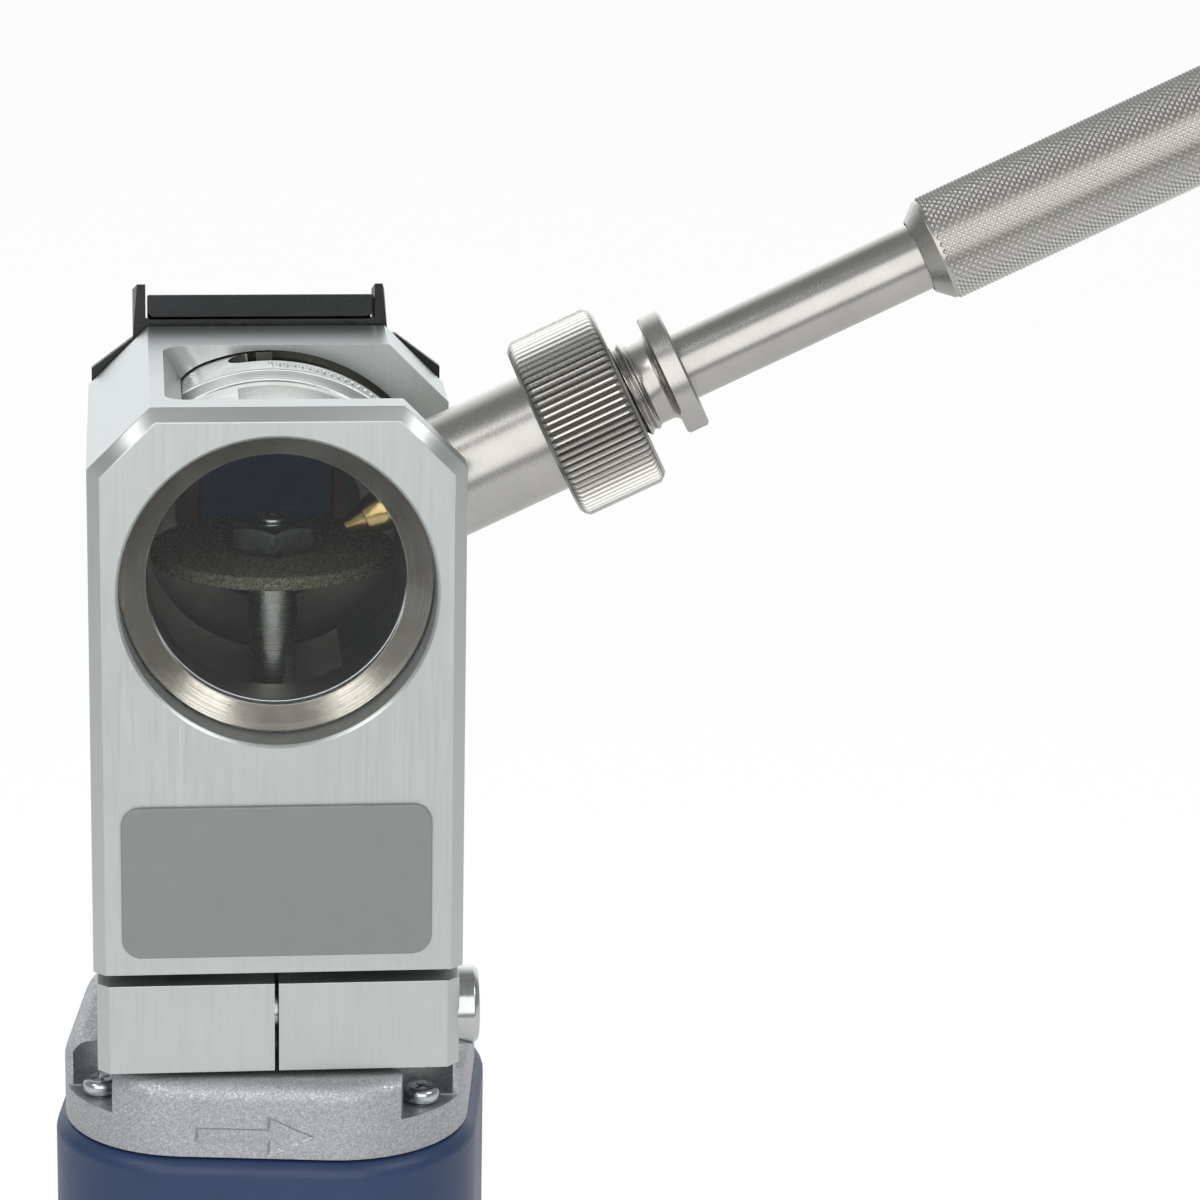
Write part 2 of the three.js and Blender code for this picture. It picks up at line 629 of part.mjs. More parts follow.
function armatureShaft() {
  const bore = collet.radius + GAP;
  return turned([
    [0, rearBearingFrom + GAP], [shaft.tail, rearBearingFrom + GAP], [shaft.tail, housingWebTo],
    [shaft.radius, housingWebTo], [shaft.radius, noseFrom], [nose.radius, noseFrom], [nose.radius, noseTo],
    [bore, noseTo], [bore, colletFrom - GAP], [0, colletFrom - GAP],
  ], 24);
}

const rearBearingBody = () => pipe(
  shaft.tail + GAP, rearBearing.radius, rearBearingFrom, rearBearingFrom + rearBearing.height, 28);

const frontBearingBody = () => pipe(
  shaft.radius + GAP, frontBearing.radius, frontBearingFrom, frontBearingFrom + frontBearing.height, 32);

function commutatorBody() {
  const { radius, height, bars, split, splitDeep } = commutator;
  const from = commutatorFrom;
  const cut = box(
    [radius - splitDeep, radius + CUT], [-split / 2, split / 2], [from - CUT, from + height + CUT]);
  return cutAll(pipe(shaft.radius + GAP, radius, from, from + height, 36), aroundZ(bars, cut));
}

function armatureCore() {
  const { radius, slots, slotWidth, slotDeep } = armature;
  const across = [-slotWidth / 2, slotWidth / 2];
  const cut = box([radius - slotDeep, radius + CUT], across, [armatureFrom - CUT, armatureTo + CUT]);
  return cutAll(pipe(shaft.radius + GAP, radius, armatureFrom, armatureTo), aroundZ(slots, cut));
}

function coolingFan() {
  const { radius, height, plate: thick, hub, blades, blade } = fan;
  const from = fanFrom;
  const bore = shaft.radius + GAP;
  const wheel = turned([
    [bore, from], [radius, from], [radius, from + thick], [hub, from + thick], [hub, from + height],
    [bore, from + height],
  ]);
  const vane = box([hub - blade, radius - blade], [-blade / 2, blade / 2], [from + thick / 2, from + height]);
  return addAll([wheel, ...aroundZ(blades, vane)]);
}

function fieldCore() {
  const inner = armature.radius + GAP;
  const outer = housing.bore - GAP;
  return turned([
    [inner, fieldFrom - field.coil], [field.coilRadius, fieldFrom - field.coil],
    [field.coilRadius, fieldFrom], [outer, fieldFrom], [outer, fieldTo], [field.coilRadius, fieldTo],
    [field.coilRadius, fieldTo + field.coil], [inner, fieldTo + field.coil],
  ], 32);
}

// Frames that run outward through the brushes, one on each side of the motor.
const brushAt = [0, 180].map(
  (turn) => aboutZ(turn + motorYaw).multiply(shift(0, 0, brushZ)).multiply(alongX));
const brushCapFrom = gripPlan.half - brushTube.capThick;

function brushHolder(at) {
  const slot = [-brush.high / 2 - GAP, brush.high / 2 + GAP];
  const side = [-brush.wide / 2 - GAP, brush.wide / 2 + GAP];
  const cut = box(slot, side, [brushTube.inner - CUT, brushCapFrom]);
  return moved(rod(brushTube.radius, brushTube.inner, brushCapFrom - GAP).subtract(cut), at);
}

function carbonBrush(at) {
  const from = commutator.radius + GAP;
  return moved(box(
    [-brush.high / 2, brush.high / 2], [-brush.wide / 2, brush.wide / 2], [from, from + brush.length]), at);
}

function brushCap(at) {
  const cut = box([-brushTube.radius, brushTube.radius], [-cross.width, cross.width],
    [gripPlan.half - cross.deep, gripPlan.half + CUT]);
  return moved(rod(brushTube.radius, brushCapFrom, gripPlan.half).subtract(cut), at);
}

const screwNotchFloor = flangeTo - flangeScrew.notchDeep;
const flangeScrewPlaces = [[1, 1], [-1, 1], [-1, -1], [1, -1]].map(
  ([sx, sy]) => inMotor.clone().multiply(
    shift(sx * flangeScrew.x, sy * flangeScrew.y, screwNotchFloor + GAP)));

// The arrow that shows which way the disc turns, a raised line round a flat arrow shape.
function arrowRidge() {
  const { tail, neck: back0, tip, shaftHalf, headHalf, aboveFoot, line, raise } = arrow;
  const slope = headHalf / (tip - back0);
  const tipIn = tip - (line * Math.sqrt(1 + slope ** 2)) / slope;
  const headIn = (tipIn - back0 - line) * slope;
  const outline = (start, half, base, wide, end) => {
    const upper = [[start, half], [base, half], [base, wide], [end, 0]];
    const lower = upper.slice(0, 3).reverse().map(([x, z]) => [x, -z]);
    return [...upper, ...lower].map(([x, z]) => [x, flangeFrom + aboveFoot + z]);
  };
  const outer = outline(tail, shaftHalf, back0, headHalf, tip);
  const inner = outline(tail + line, shaftHalf - line, back0 + line, headIn, tipIn);
  return faced(outer, [-flange.half - raise, flange.shoulder - flange.half], [inner]);
}

function bearingFlange() {
  const { half, corner, shoulder: round } = flange;
  const rings = [planRing(flangeFrom, { half, corner })];
  for (const [x, y] of arc(round, 0, 90, 4)) {
    rings.push(planRing(flangeTo - round + y, { half, corner }, round - x));
  }
  const body = lofted(rings).add(arrowRidge());
  const bearingHole = frontBearing.radius + GAP;
  const cuts = [
    ...flangeScrewPlaces.map((at) => moved(rod(flangeScrew.notch, -GAP, flangeScrew.notchDeep + CUT), at)),
    ...flangeScrewPlaces.map((at) => moved(rod(flangeScrew.shank + GAP, -flangeScrew.length, 0, 10), at)),
  ];
  const whole = cutAll(moved(body, inMotor), cuts).add(rod(neck.radius, flangeTo - CUT, neckTo, 40));
  return cutAll(whole, [
    rod(bearingHole, flangeFrom - CUT, neckBearingRoof, 32),
    rod(neck.bore, flangeFrom, neckTo + CUT),
  ]);
}

// A row of cooling slots through both side walls of the motor, seen along X.
function sideSlots({ count, width, pitch, height }, z, from) {
  const reach = headPlan.half + CUT;
  const slot = box([-width / 2, width / 2], [from, reach], [z, z + height]);
  return [90, -90].flatMap((turn) => row(count, pitch, slot).map((body) => moved(body, aboutZ(turn))));
}

function motorHousing() {
  const top = housingTo - housing.rim;
  const shoulderFrom = housingTo - shoulder.below;
  const rings = [planRing(housingFrom, gripPlan, foot.lip), planRing(housingFrom + foot.edge, gripPlan)];
  for (let i = 0; i <= shoulder.steps; i += 1) {
    const share = THREE.MathUtils.smoothstep(i, 0, shoulder.steps);
    const half = THREE.MathUtils.lerp(gripPlan.half, headPlan.half, share);
    const corner = THREE.MathUtils.lerp(gripPlan.corner, headPlan.corner, share);
    rings.push(planRing(shoulderFrom + (shoulder.height * i) / shoulder.steps, { half, corner }));
  }
  for (const [x, y] of arc(housing.rim, 0, 90, 3)) {
    rings.push(planRing(top + y, headPlan, housing.rim - x));
  }
  const vents = aroundZ(ventHole.count, moved(
    rod(ventHole.radius, housingFrom - CUT, housingWebTo + CUT, 12), shift(0, ventHole.circle, 0)));
  const cuts = [
    rod(housing.bore, housingWebTo, housingTo + CUT, 44),
    rod(rearBearing.radius + GAP, housingFrom + housing.seat, housingWebTo + CUT, 28),
    rod(housing.hole, housingFrom - CUT, housingWebTo),
    ...vents,
    ...sideSlots(outlet, fanFrom, housing.bore - CUT),
    ...[1, -1].map((side) => moved(
      rod(footScrew.shank + GAP, housingFrom - CUT, footScrewZ + footScrew.length + GAP, 10),
      shift(side * bossCircle.x, side * bossCircle.y, 0))),
  ];
  const inPlace = moved(cutAll(lofted(rings), cuts), inMotor);
  return cutAll(inPlace, [
    ...brushAt.map((at) => moved(rod(brushTube.radius + GAP, brushTube.inner, gripPlan.half + CUT), at)),
    ...flangeScrewPlaces.map((at) => moved(
      rod(flangeScrew.shank + GAP, -flangeScrew.length - GAP, 0, 10), at)),
  ]);
}

const sliderOut = -gripPlan.half - slider.rise;
const sliderRear = sliderOut + slider.thick;
const switchFront = GAP - Math.sqrt(foot.bore ** 2 - (switchBody.width / 2) ** 2);
const stemEnd = switchFront - GAP;
const glandAt = shift(0, 0, gland.above).multiply(alongY);

function rearCap() {
  const rings = [
    planRing(0, gripPlan, foot.shrink),
    planRing(foot.edge, gripPlan),
    planRing(foot.height - foot.edge, gripPlan),
    planRing(foot.height, gripPlan, foot.lip),
  ];
  const corners = [1, -1].map((side) => shift(side * bossCircle.x, side * bossCircle.y, 0));
  const hollow = cutAll(
    rod(foot.bore, foot.floor, foot.height + CUT, 44),
    corners.map((at) => moved(rod(bossCircle.radius, 0, foot.height, 16), at)));
  const half = slider.width / 2 + GAP;
  const stem = slider.stem / 2 + GAP;
  const mid = slider.above + slider.height / 2;
  const cuts = [
    hollow,
    ...corners.map((at) => moved(rod(footScrew.shank + GAP, 0, foot.height + CUT, 10), at)),
    ...corners.map((at) => moved(rod(footScrew.head + GAP, -CUT, footScrewZ, 16), at)),
    ...sideSlots(inlet, inlet.above, foot.bore - CUT),
    box([-half, half], [sliderOut - CUT, sliderRear + GAP],
      [slider.above - GAP, slider.above + slider.height + slider.travel + GAP]),
    box([-stem, stem], [sliderOut, slider.thick - foot.bore], [mid - stem, mid + stem + slider.travel]),
    moved(rod(gland.radius + GAP, foot.bore - CUT, gripPlan.half + CUT), glandAt),
  ];
  return moved(cutAll(lofted(rings), cuts), inMotor);
}

function switchSlider() {
  const mid = slider.above + slider.height / 2;
  const half = slider.width / 2;
  const body = box(
    [-half, half], [sliderOut + slider.rib, sliderRear], [slider.above, slider.above + slider.height]);
  const stem = box([-slider.stem / 2, slider.stem / 2], [sliderRear - slider.rib, stemEnd],
    [mid - slider.stem / 2, mid + slider.stem / 2]);
  const pitch = slider.height / slider.ribs;
  const ribs = Array.from({ length: slider.ribs }, (_, i) => {
    const z = slider.above + pitch * (i + 1 / 2);
    return box([-half, half], [sliderOut, sliderRear - slider.rib], [z - slider.rib / 2, z + slider.rib / 2]);
  });
  return moved(addAll([body, stem, ...ribs]), inMotor);
}

function switchBodySolid() {
  const half = switchBody.width / 2;
  const floor = foot.floor + GAP;
  const { depth, height } = switchBody;
  return moved(box([-half, half], [switchFront, switchFront + depth], [floor, floor + height]), inMotor);
}

function cableInlet() {
  const inner = Math.sqrt(foot.bore ** 2 - gland.collar ** 2) - GAP;
  const outer = gripPlan.half + GAP;
  const { radius, collar, collarThick, length, tip, bore } = gland;
  return moved(turned([
    [bore, inner - collarThick], [collar, inner - collarThick], [collar, inner], [radius, inner],
    [radius, outer], [collar, outer], [collar, outer + collarThick], [tip, outer + length],
    [bore, outer + length],
  ], 20), inMotor.clone().multiply(glandAt));
}

function footScrewBody(side) {
  const upright = shift(0, 0, footScrewZ - GAP).multiply(new THREE.Matrix4().makeRotationX(rad(180)));
  const at = inMotor.clone().multiply(shift(side * bossCircle.x, side * bossCircle.y, 0)).multiply(upright);
  return moved(panScrew(footScrew), at);
}

// The sheet-metal parts on the back, from the block's rear face outward.
const holderFront = block.depth / 2 + GAP;
const frameFront = plateBack + GAP;
const slideFront = frameFront + frame.thick + GAP;
const slideBack = slideFront + sheet;
const finBack = slideBack + GAP + sheet;
const cassetteX = [fin.left + fin.thick + GAP, fin.right - fin.thick - GAP];
const cassetteFrom = fin.bottom + sheet + GAP;

function filterHolder() {
  const level = (z) => blockTo + z;
  const outline = [
    [-backHalf, level(back.bottom)], [backHalf, level(back.bottom)], [backHalf, level(back.shoulder)],
    [backTopHalf, level(back.top)], [-backTopHalf, level(back.top)], [-backHalf, level(back.shoulder)],
  ];
  const window = [
    [-port.half, level(port.bottom)], [port.half, level(port.bottom)],
    [port.half, level(port.top)], [-port.half, level(port.top)],
  ];
  const high = [level(fin.bottom), level(fin.top)];
  const low = [level(fin.bottom), level(back.top)];
  const web = [holderFront, finBack];
  const lipY = [finBack - sheet, finBack];
  const bends = [
    box([fin.left, fin.left + fin.thick], web, high),
    box([fin.right - fin.thick, fin.right], web, high),
    box([fin.left, fin.left + fin.thick + fin.lip], lipY, low),
    box([fin.right - fin.thick - fin.lip, fin.right], lipY, low),
    box([fin.left, fin.right], web, [level(fin.bottom), level(fin.bottom) + sheet]),
  ];
  const holes = backScrewPlaces.map((at) => moved(rod(backScrew.shank + GAP, -sheet - CUT, CUT, 10), at));
  return cutAll(addAll([faced(outline, [holderFront, plateBack], [window]), ...bends]), holes);
}

function filterSlide() {
  const top = blockTo + slide.top;
  const lipHeight = slide.lip;
  const [left, right] = cassetteX;
  const lip = roundedBox(
    right - left, 2 * lipHeight, slide.corner, (left + right) / 2, top).filter(([, z]) => z <= top);
  const front = faced([...lip, [right, top], [left, top]], [holderFront, holderFront + sheet]);
  return addAll([
    box([left, right], [slideFront, slideBack], [blockTo + cassetteFrom, top]),
    box([left, right], [holderFront, slideBack], [top - sheet, top]),
    front,
  ]);
}

function filterFrame() {
  const level = (z) => blockTo + z;
  const y = [frameFront, frameFront + frame.thick];
  const opening = box(
    [-frame.open, frame.open], [frameFront - CUT, frameFront + frame.thick + CUT],
    [level(frame.openBottom), level(frame.openTop)]);
  return box(cassetteX, y, [level(cassetteFrom), level(frame.top)]).subtract(opening);
}

function filterFleece() {
  const half = frame.open - GAP;
  const inset = frame.fleeceInset;
  return box([-half, half], [frameFront + inset, frameFront + frame.thick - inset],
    [blockTo + frame.openBottom + GAP, blockTo + frame.openTop - GAP]);
}

const finishes = {
  milledAluminium: { color: '#c6cacd', roughness: 0.38, metalness: 0.9 },
  castAluminium: { color: '#b9bcbd', roughness: 0.5, metalness: 0.8 },
  turnedSteel: { color: '#b7b4ae', roughness: 0.3, metalness: 1 },
  knurledSteel: { color: '#aeaba6', roughness: 0.4, metalness: 1 },
  zincSteel: { color: '#bcbfc2', roughness: 0.35, metalness: 1 },
  bearingSteel: { color: '#a9abad', roughness: 0.25, metalness: 1 },
  laminatedSteel: { color: '#5d5f63', roughness: 0.55, metalness: 0.7 },
  copper: { color: '#b06a3f', roughness: 0.4, metalness: 1 },
  brass: { color: '#c9a566', roughness: 0.28, metalness: 1 },
  clearLens: { color: '#dfe8ec', roughness: 0.08, metalness: 0, transparent: true, opacity: 0.35 },
  diamondGrit: { color: '#54543f', roughness: 0.85, metalness: 0.1 },
  satinPlate: { color: '#8f9395', roughness: 0.45, metalness: 0.5 },
  blackPaint: { color: '#1d1e22', roughness: 0.5, metalness: 0.1 },
  bluePlastic: { color: '#2f4a73', roughness: 0.4, metalness: 0 },
  darkPlastic: { color: '#22252b', roughness: 0.55, metalness: 0 },
  rubber: { color: '#1a1b1d', roughness: 0.8, metalness: 0 },
  carbon: { color: '#2b2b2d', roughness: 0.7, metalness: 0.1 },
  cardboard: { color: '#7c5b43', roughness: 0.9, metalness: 0 },
  fleece: { color: '#2c4c80', roughness: 0.95, metalness: 0 },
};

const machine = new THREE.Group();
machine.name = 'electrode_grinder';

function add(name, body, finish) {
  const mesh = new THREE.Mesh(geometryOf(body), new THREE.MeshStandardMaterial(finish));
  mesh.name = name;
  machine.add(mesh);
}

// The foot and the motor round the armature.
add('rear_cap', rearCap(), finishes.bluePlastic);
add('rear_cap_screw_1', footScrewBody(1), finishes.zincSteel);
add('rear_cap_screw_2', footScrewBody(-1), finishes.zincSteel);
add('switch_slider', switchSlider(), finishes.darkPlastic);
add('switch_body', switchBodySolid(), finishes.darkPlastic);
add('cable_inlet', cableInlet(), finishes.rubber);
add('motor_housing', motorHousing(), finishes.bluePlastic);
add('field_core', fieldCore(), finishes.laminatedSteel);
add('brush_holder_right', brushHolder(brushAt[0]), finishes.brass);
add('brush_holder_left', brushHolder(brushAt[1]), finishes.brass);
add('carbon_brush_right', carbonBrush(brushAt[0]), finishes.carbon);
add('carbon_brush_left', carbonBrush(brushAt[1]), finishes.carbon);
add('brush_cap_right', brushCap(brushAt[0]), finishes.darkPlastic);
add('brush_cap_left', brushCap(brushAt[1]), finishes.darkPlastic);
add('rear_bearing', rearBearingBody(), finishes.bearingSteel);
add('front_bearing', frontBearingBody(), finishes.bearingSteel);
add('bearing_flange', bearingFlange(), finishes.castAluminium);
flangeScrewPlaces.forEach(
  (at, i) => add(`flange_screw_${i + 1}`, moved(panScrew(flangeScrew), at), finishes.zincSteel));

// What the motor turns.
add('armature_shaft', armatureShaft(), finishes.bearingSteel);
add('armature_core', armatureCore(), finishes.laminatedSteel);
add('commutator', commutatorBody(), finishes.copper);
add('cooling_fan', coolingFan(), finishes.darkPlastic);
add('collet', colletBody(), finishes.turnedSteel);
add('collet_nut', colletNutBody(), finishes.turnedSteel);
add('disc_mandrel', discMandrel(), finishes.turnedSteel);
add('grinding_disc', grindingDisc(), finishes.diamondGrit);
add('disc_nut', discNutBody(), finishes.zincSteel);

// The head and what is fixed to it.
add('head_block', headBlock(), finishes.milledAluminium);
add('window_lens', windowLens(), finishes.clearLens);
add('name_plate', namePlate(), finishes.satinPlate);
add('clamp_screw', clampScrewBody(), finishes.zincSteel);
add('drum_lock_screw', lockScrewBody(), finishes.zincSteel);
add('drum_retainer', drumRetainer(), finishes.milledAluminium);
add('filter_holder', filterHolder(), finishes.blackPaint);
backScrewPlaces.forEach(
  (at, i) => add(`filter_holder_screw_${i + 1}`, moved(panScrew(backScrew), at), finishes.zincSteel));

// What swivels, slides and turns.
add('swivel_drum', swivelDrum(), finishes.milledAluminium);
add('guide_tube', guideTube(), finishes.turnedSteel);
add('clamp_nut', clampNutBody(), finishes.knurledSteel);
add('adjusting_sleeve', adjustingSleeve(), finishes.turnedSteel);
add('holder_tube', holderTube(), finishes.turnedSteel);
add('electrode_nozzle', electrodeNozzle(), finishes.brass);
add('handle_grip', handleGrip(), finishes.knurledSteel);
add('handle_cap', handleCap(), finishes.knurledSteel);
add('filter_slide', filterSlide(), finishes.blackPaint);
add('filter_frame', filterFrame(), finishes.cardboard);
add('filter_fleece', filterFleece(), finishes.fleece);

export default machine;
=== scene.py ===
# %% [markdown]
# # A bench grinder for tungsten electrodes
#
# A welder grinds the tip of a tungsten electrode to a point on this machine. An upright
# motor carries a milled aluminium head. A diamond disc spins inside the head, behind a
# clear window, and a steel tube on a swivelling drum brings the electrode down to it.
#
# The sizes and the joints come from a imported CAD model. This script dresses that model:
# the parts that a viewer looks at closely are made again with round bores, small edge
# breaks, threads and knurls, and every part gets a material that is computed, not painted as
# an image. The knurls and the drum's bore and rear groove carry painted shade in their colour.

from math import cos, pi, radians, sin, tan

import bmesh
import bpy
from mathutils import Matrix, Vector


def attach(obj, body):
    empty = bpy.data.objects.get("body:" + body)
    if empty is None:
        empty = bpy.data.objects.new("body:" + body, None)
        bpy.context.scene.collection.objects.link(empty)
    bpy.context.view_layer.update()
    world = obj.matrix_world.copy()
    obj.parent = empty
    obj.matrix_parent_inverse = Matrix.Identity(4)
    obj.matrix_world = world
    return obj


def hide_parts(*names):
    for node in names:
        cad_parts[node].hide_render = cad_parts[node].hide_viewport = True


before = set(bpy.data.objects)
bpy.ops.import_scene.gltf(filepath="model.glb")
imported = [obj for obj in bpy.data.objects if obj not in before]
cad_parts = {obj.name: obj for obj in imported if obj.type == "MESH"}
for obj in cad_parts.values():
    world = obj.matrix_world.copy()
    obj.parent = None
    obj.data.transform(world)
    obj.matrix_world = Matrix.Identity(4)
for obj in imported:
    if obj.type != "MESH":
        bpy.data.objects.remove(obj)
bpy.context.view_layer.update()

# %% [markdown]
# ## Frames and shapes
#
# Everything below is written in millimetres, like a workshop drawing, and scaled to metres
# once, when a piece is finished. Three frames do most of the work. One is turned a little
# with the motor, one runs back along the axis of the drum, and one runs out along the
# electrode holder.

# %% Frames of the machine
BLOCK_FRONT = -30.0
BLOCK_TOP = 350.1
DRUM_Z = 320.1
HOLDER_ANGLE = 25.4
MM = 0.001
# Points round a part, where no other number is given, and steps round an eased corner.
AROUND = 96
CORNER_STEPS = 3


def shift(x, y, z):
    return Matrix.Translation((x, y, z))


def turn(axis, degrees):
    return Matrix.Rotation(radians(degrees), 4, axis)


IN_MOTOR = turn("Z", -7.1)
ALONG_DRUM = shift(0, BLOCK_FRONT, DRUM_Z) @ turn("X", -90)
ALONG_TUBE = shift(0, BLOCK_FRONT + 21, DRUM_Z) @ turn("Y", 90 - HOLDER_ANGLE)
ALONG_X = turn("Y", 90)
ALONG_Y = turn("X", -90)


def outward(azimuth):
    """A frame on the drum axis whose Z axis points outward at an azimuth, its Y axis back."""
    return shift(0, BLOCK_FRONT, DRUM_Z) @ turn("Y", 90 - azimuth)


# %% [markdown]
# A turned part is a profile spun round an axis, and most parts here are turned. `loft` draws
# a skin over rings of equally many points, and `revolve` makes those rings from a profile.
# No real edge is perfectly sharp, so `eased` rounds the corners of a profile first: that
# small round is what catches the light along an edge.

# %% Shapes from rings and profiles
def loft(rings, capped=True):
    """A skin over rings of points. The two ends are capped, or the last ring joins the first."""
    count = len(rings[0])
    levels = len(rings) - 1 if capped else len(rings)
    faces = []
    for level in range(levels):
        low = level * count
        high = (level + 1) % len(rings) * count
        for i in range(count):
            j = (i + 1) % count
            faces.append((low + i, low + j, high + j, high + i))
    if capped:
        last = (len(rings) - 1) * count
        faces.append(tuple(reversed(range(count))))
        faces.append(tuple(range(last, last + count)))
    return [point for ring in rings for point in ring], faces


def arc(radius, start, end, steps, x=0.0, y=0.0):
    angles = [radians(start + (end - start) * i / steps) for i in range(steps + 1)]
    return [(x + radius * cos(a), y + radius * sin(a)) for a in angles]


def eased(points, size, closed):
    """The same outline with each sharp corner rounded by about size."""
    count = len(points)
    done = []
    for i, (x, y) in enumerate(points):
        before, after = points[i - 1], points[(i + 1) % count]
        end = not closed and i in (0, count - 1)
        a = Vector((before[0] - x, before[1] - y))
        b = Vector((after[0] - x, after[1] - y))
        if end or x == 0 or a.length * b.length == 0 or a.angle(b) > radians(160):
            done.append((x, y))
            continue
        cut = min(size, 0.4 * a.length, 0.4 * b.length)
        a, b = a.normalized() * cut, b.normalized() * cut
        for k in range(CORNER_STEPS + 1):
            t = k / CORNER_STEPS
            p = a * (1 - t) ** 2 + b * t**2
            done.append((x + p.x, y + p.y))
    return done


def circle(radius, z, steps=AROUND):
    angles = [2 * pi * i / steps for i in range(steps)]
    return [(radius * cos(a), radius * sin(a), z) for a in angles]


def revolve(profile, steps, ease=0.0):
    """A body of revolution about Z from [radius, height] points. On the axis it gets a flat cap."""
    hollow = profile[0][0] > 0 and profile[-1][0] > 0
    outline = eased(profile, ease, hollow) if ease else profile
    return loft([circle(r, z, steps) for r, z in outline if r > 0], capped=not hollow)


def rod(radius, start, end, steps=AROUND, ease=0.0):
    return revolve([(0, start), (radius, start), (radius, end), (0, end)], steps, ease)


def prism(outline, start, end):
    return loft([[(x, y, start) for x, y in outline], [(x, y, end) for x, y in outline]])


def box(x, y, z):
    return prism([(x[0], y[0]), (x[1], y[0]), (x[1], y[1]), (x[0], y[1])], *z)


def faced(outline, y):
    """An outline of [x, z] points seen from the front, run back from y[0] to y[1]."""
    return loft([[(x, y[0], z) for x, z in outline], [(x, y[1], z) for x, z in outline]])


def rounded_box(width, height, corner, x=0.0, y=0.0, steps=8):
    points = []
    for sx, sy, start in ((1, 1, 0), (-1, 1, 90), (-1, -1, 180), (1, -1, 270)):
        cx, cy = x + sx * (width / 2 - corner), y + sy * (height / 2 - corner)
        points += arc(corner, start, start + 90, steps, cx, cy)
    return points


def hexagon(across_flats, start=0.0):
    return arc(across_flats / 3**0.5, start, start + 300, 5)


def placed(shape, matrix):
    return [matrix @ Vector(point) for point in shape[0]], shape[1]


def joined(*shapes):
    points, faces = [], []
    for some, skin in shapes:
        faces += [tuple(i + len(points) for i in face) for face in skin]
        points += list(some)
    return points, faces


# %% [markdown]
# ## From shapes to pieces
#
# A milled block is a body with other bodies cut out of it, so `cut` uses Boolean modifiers in
# their exact mode. `deliver` does the last steps for each piece: it scales the mesh to
# metres, marks real edges sharp, weights the normals so that flat faces stay flat in the
# light, hangs the piece under an empty for the body it moves with, and hides the CAD node it
# replaces.

# %% Objects, cuts and edge breaks
def linked(name, data):
    obj = bpy.data.objects.new(name, data)
    bpy.context.scene.collection.objects.link(obj)
    return obj


def as_object(name, shape):
    mesh = bpy.data.meshes.new(name)
    mesh.from_pydata([tuple(point) for point in shape[0]], [], shape[1])
    work = bmesh.new()
    work.from_mesh(mesh)
    bmesh.ops.recalc_face_normals(work, faces=work.faces)
    work.to_mesh(mesh)
    work.free()
    return linked(name, mesh)


def settle(obj):
    """Turns the modifiers of an object into plain mesh."""
    bpy.context.view_layer.update()
    made = bpy.data.meshes.new_from_object(obj.evaluated_get(bpy.context.evaluated_depsgraph_get()))
    old = obj.data
    obj.modifiers.clear()
    obj.data = made
    bpy.data.meshes.remove(old)
    made.name = obj.name


def weld(obj):
    """Joins points that lie closer than two thousandths of a millimetre, and drops empty faces."""
    work = bmesh.new()
    work.from_mesh(obj.data)
    bmesh.ops.remove_doubles(work, verts=work.verts, dist=0.002)
    bmesh.ops.dissolve_degenerate(work, edges=work.edges, dist=0.002)
    work.to_mesh(obj.data)
    work.free()


def measured(obj):
    """The volume of a mesh, and how many of its edges don't join exactly two faces."""
    work = bmesh.new()
    work.from_mesh(obj.data)
    volume, loose = work.calc_volume(), sum(len(edge.link_faces) != 2 for edge in work.edges)
    work.free()
    return volume, loose


def combine(obj, shapes, operation):
    """Applies one Boolean after another. A Boolean can fail without a word, so each is measured."""
    for shape in shapes:
        tool = as_object("tool", shape) if isinstance(shape, tuple) else shape
        before, _ = measured(obj)
        step = obj.modifiers.new("step", "BOOLEAN")
        step.object = tool
        step.operation = operation
        step.solver = "EXACT"
        settle(obj)
        bpy.data.meshes.remove(tool.data)
        weld(obj)
        after, loose = measured(obj)
        worked = after > before + 0.01 if operation == "UNION" else 0 < after < before - 0.01
        if loose or not worked:
            print(f"BOOLEAN {obj.name} {operation}: {before:.1f} -> {after:.1f}, loose {loose}")
    return obj


def cut(obj, *shapes):
    return combine(obj, shapes, "DIFFERENCE")


def unite(obj, *shapes):
    return combine(obj, shapes, "UNION")


def soften(obj, width, steps=2, angle=40):
    """Breaks every edge that turns by more than an angle with a small round."""
    weld(obj)
    bevel = obj.modifiers.new("edge", "BEVEL")
    bevel.width = width
    bevel.segments = steps
    bevel.limit_method = "ANGLE"
    bevel.angle_limit = radians(angle)
    bevel.use_clamp_overlap = True
    settle(obj)
    return obj


def deliver(obj, body, material, slot, *nodes, sharp=34):
    """Finishes a piece: metres, sharp edges, material, and its place in the frame."""
    obj.data.transform(Matrix.Scale(MM, 4))
    obj.data.materials.clear()
    obj.data.materials.append(material)
    obj.data.shade_smooth()
    obj.data.set_sharp_from_angle(angle=radians(sharp))
    weigh = obj.modifiers.new("normals", "WEIGHTED_NORMAL")
    weigh.keep_sharp = True
    settle(obj)
    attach(obj, body)
    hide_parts(*nodes)
    print(f"{obj.name}: {len(obj.data.polygons)} faces on {body}")
    return obj


def turned(node, body, material, slot, axes, steps, ease, profile):
    """A piece that is finished when it comes off the lathe."""
    obj = as_object(node + "_fine", placed(revolve(profile, steps, ease), axes))
    deliver(obj, body, material, slot, node)


def repaint(obj, material, axes, chosen):
    """A second material for the faces of a finished piece that are chosen by their middle."""
    obj.data.materials.append(material)
    into = axes.inverted()
    for face in obj.data.polygons:
        if chosen(into @ (face.center / MM)):
            face.material_index = 1


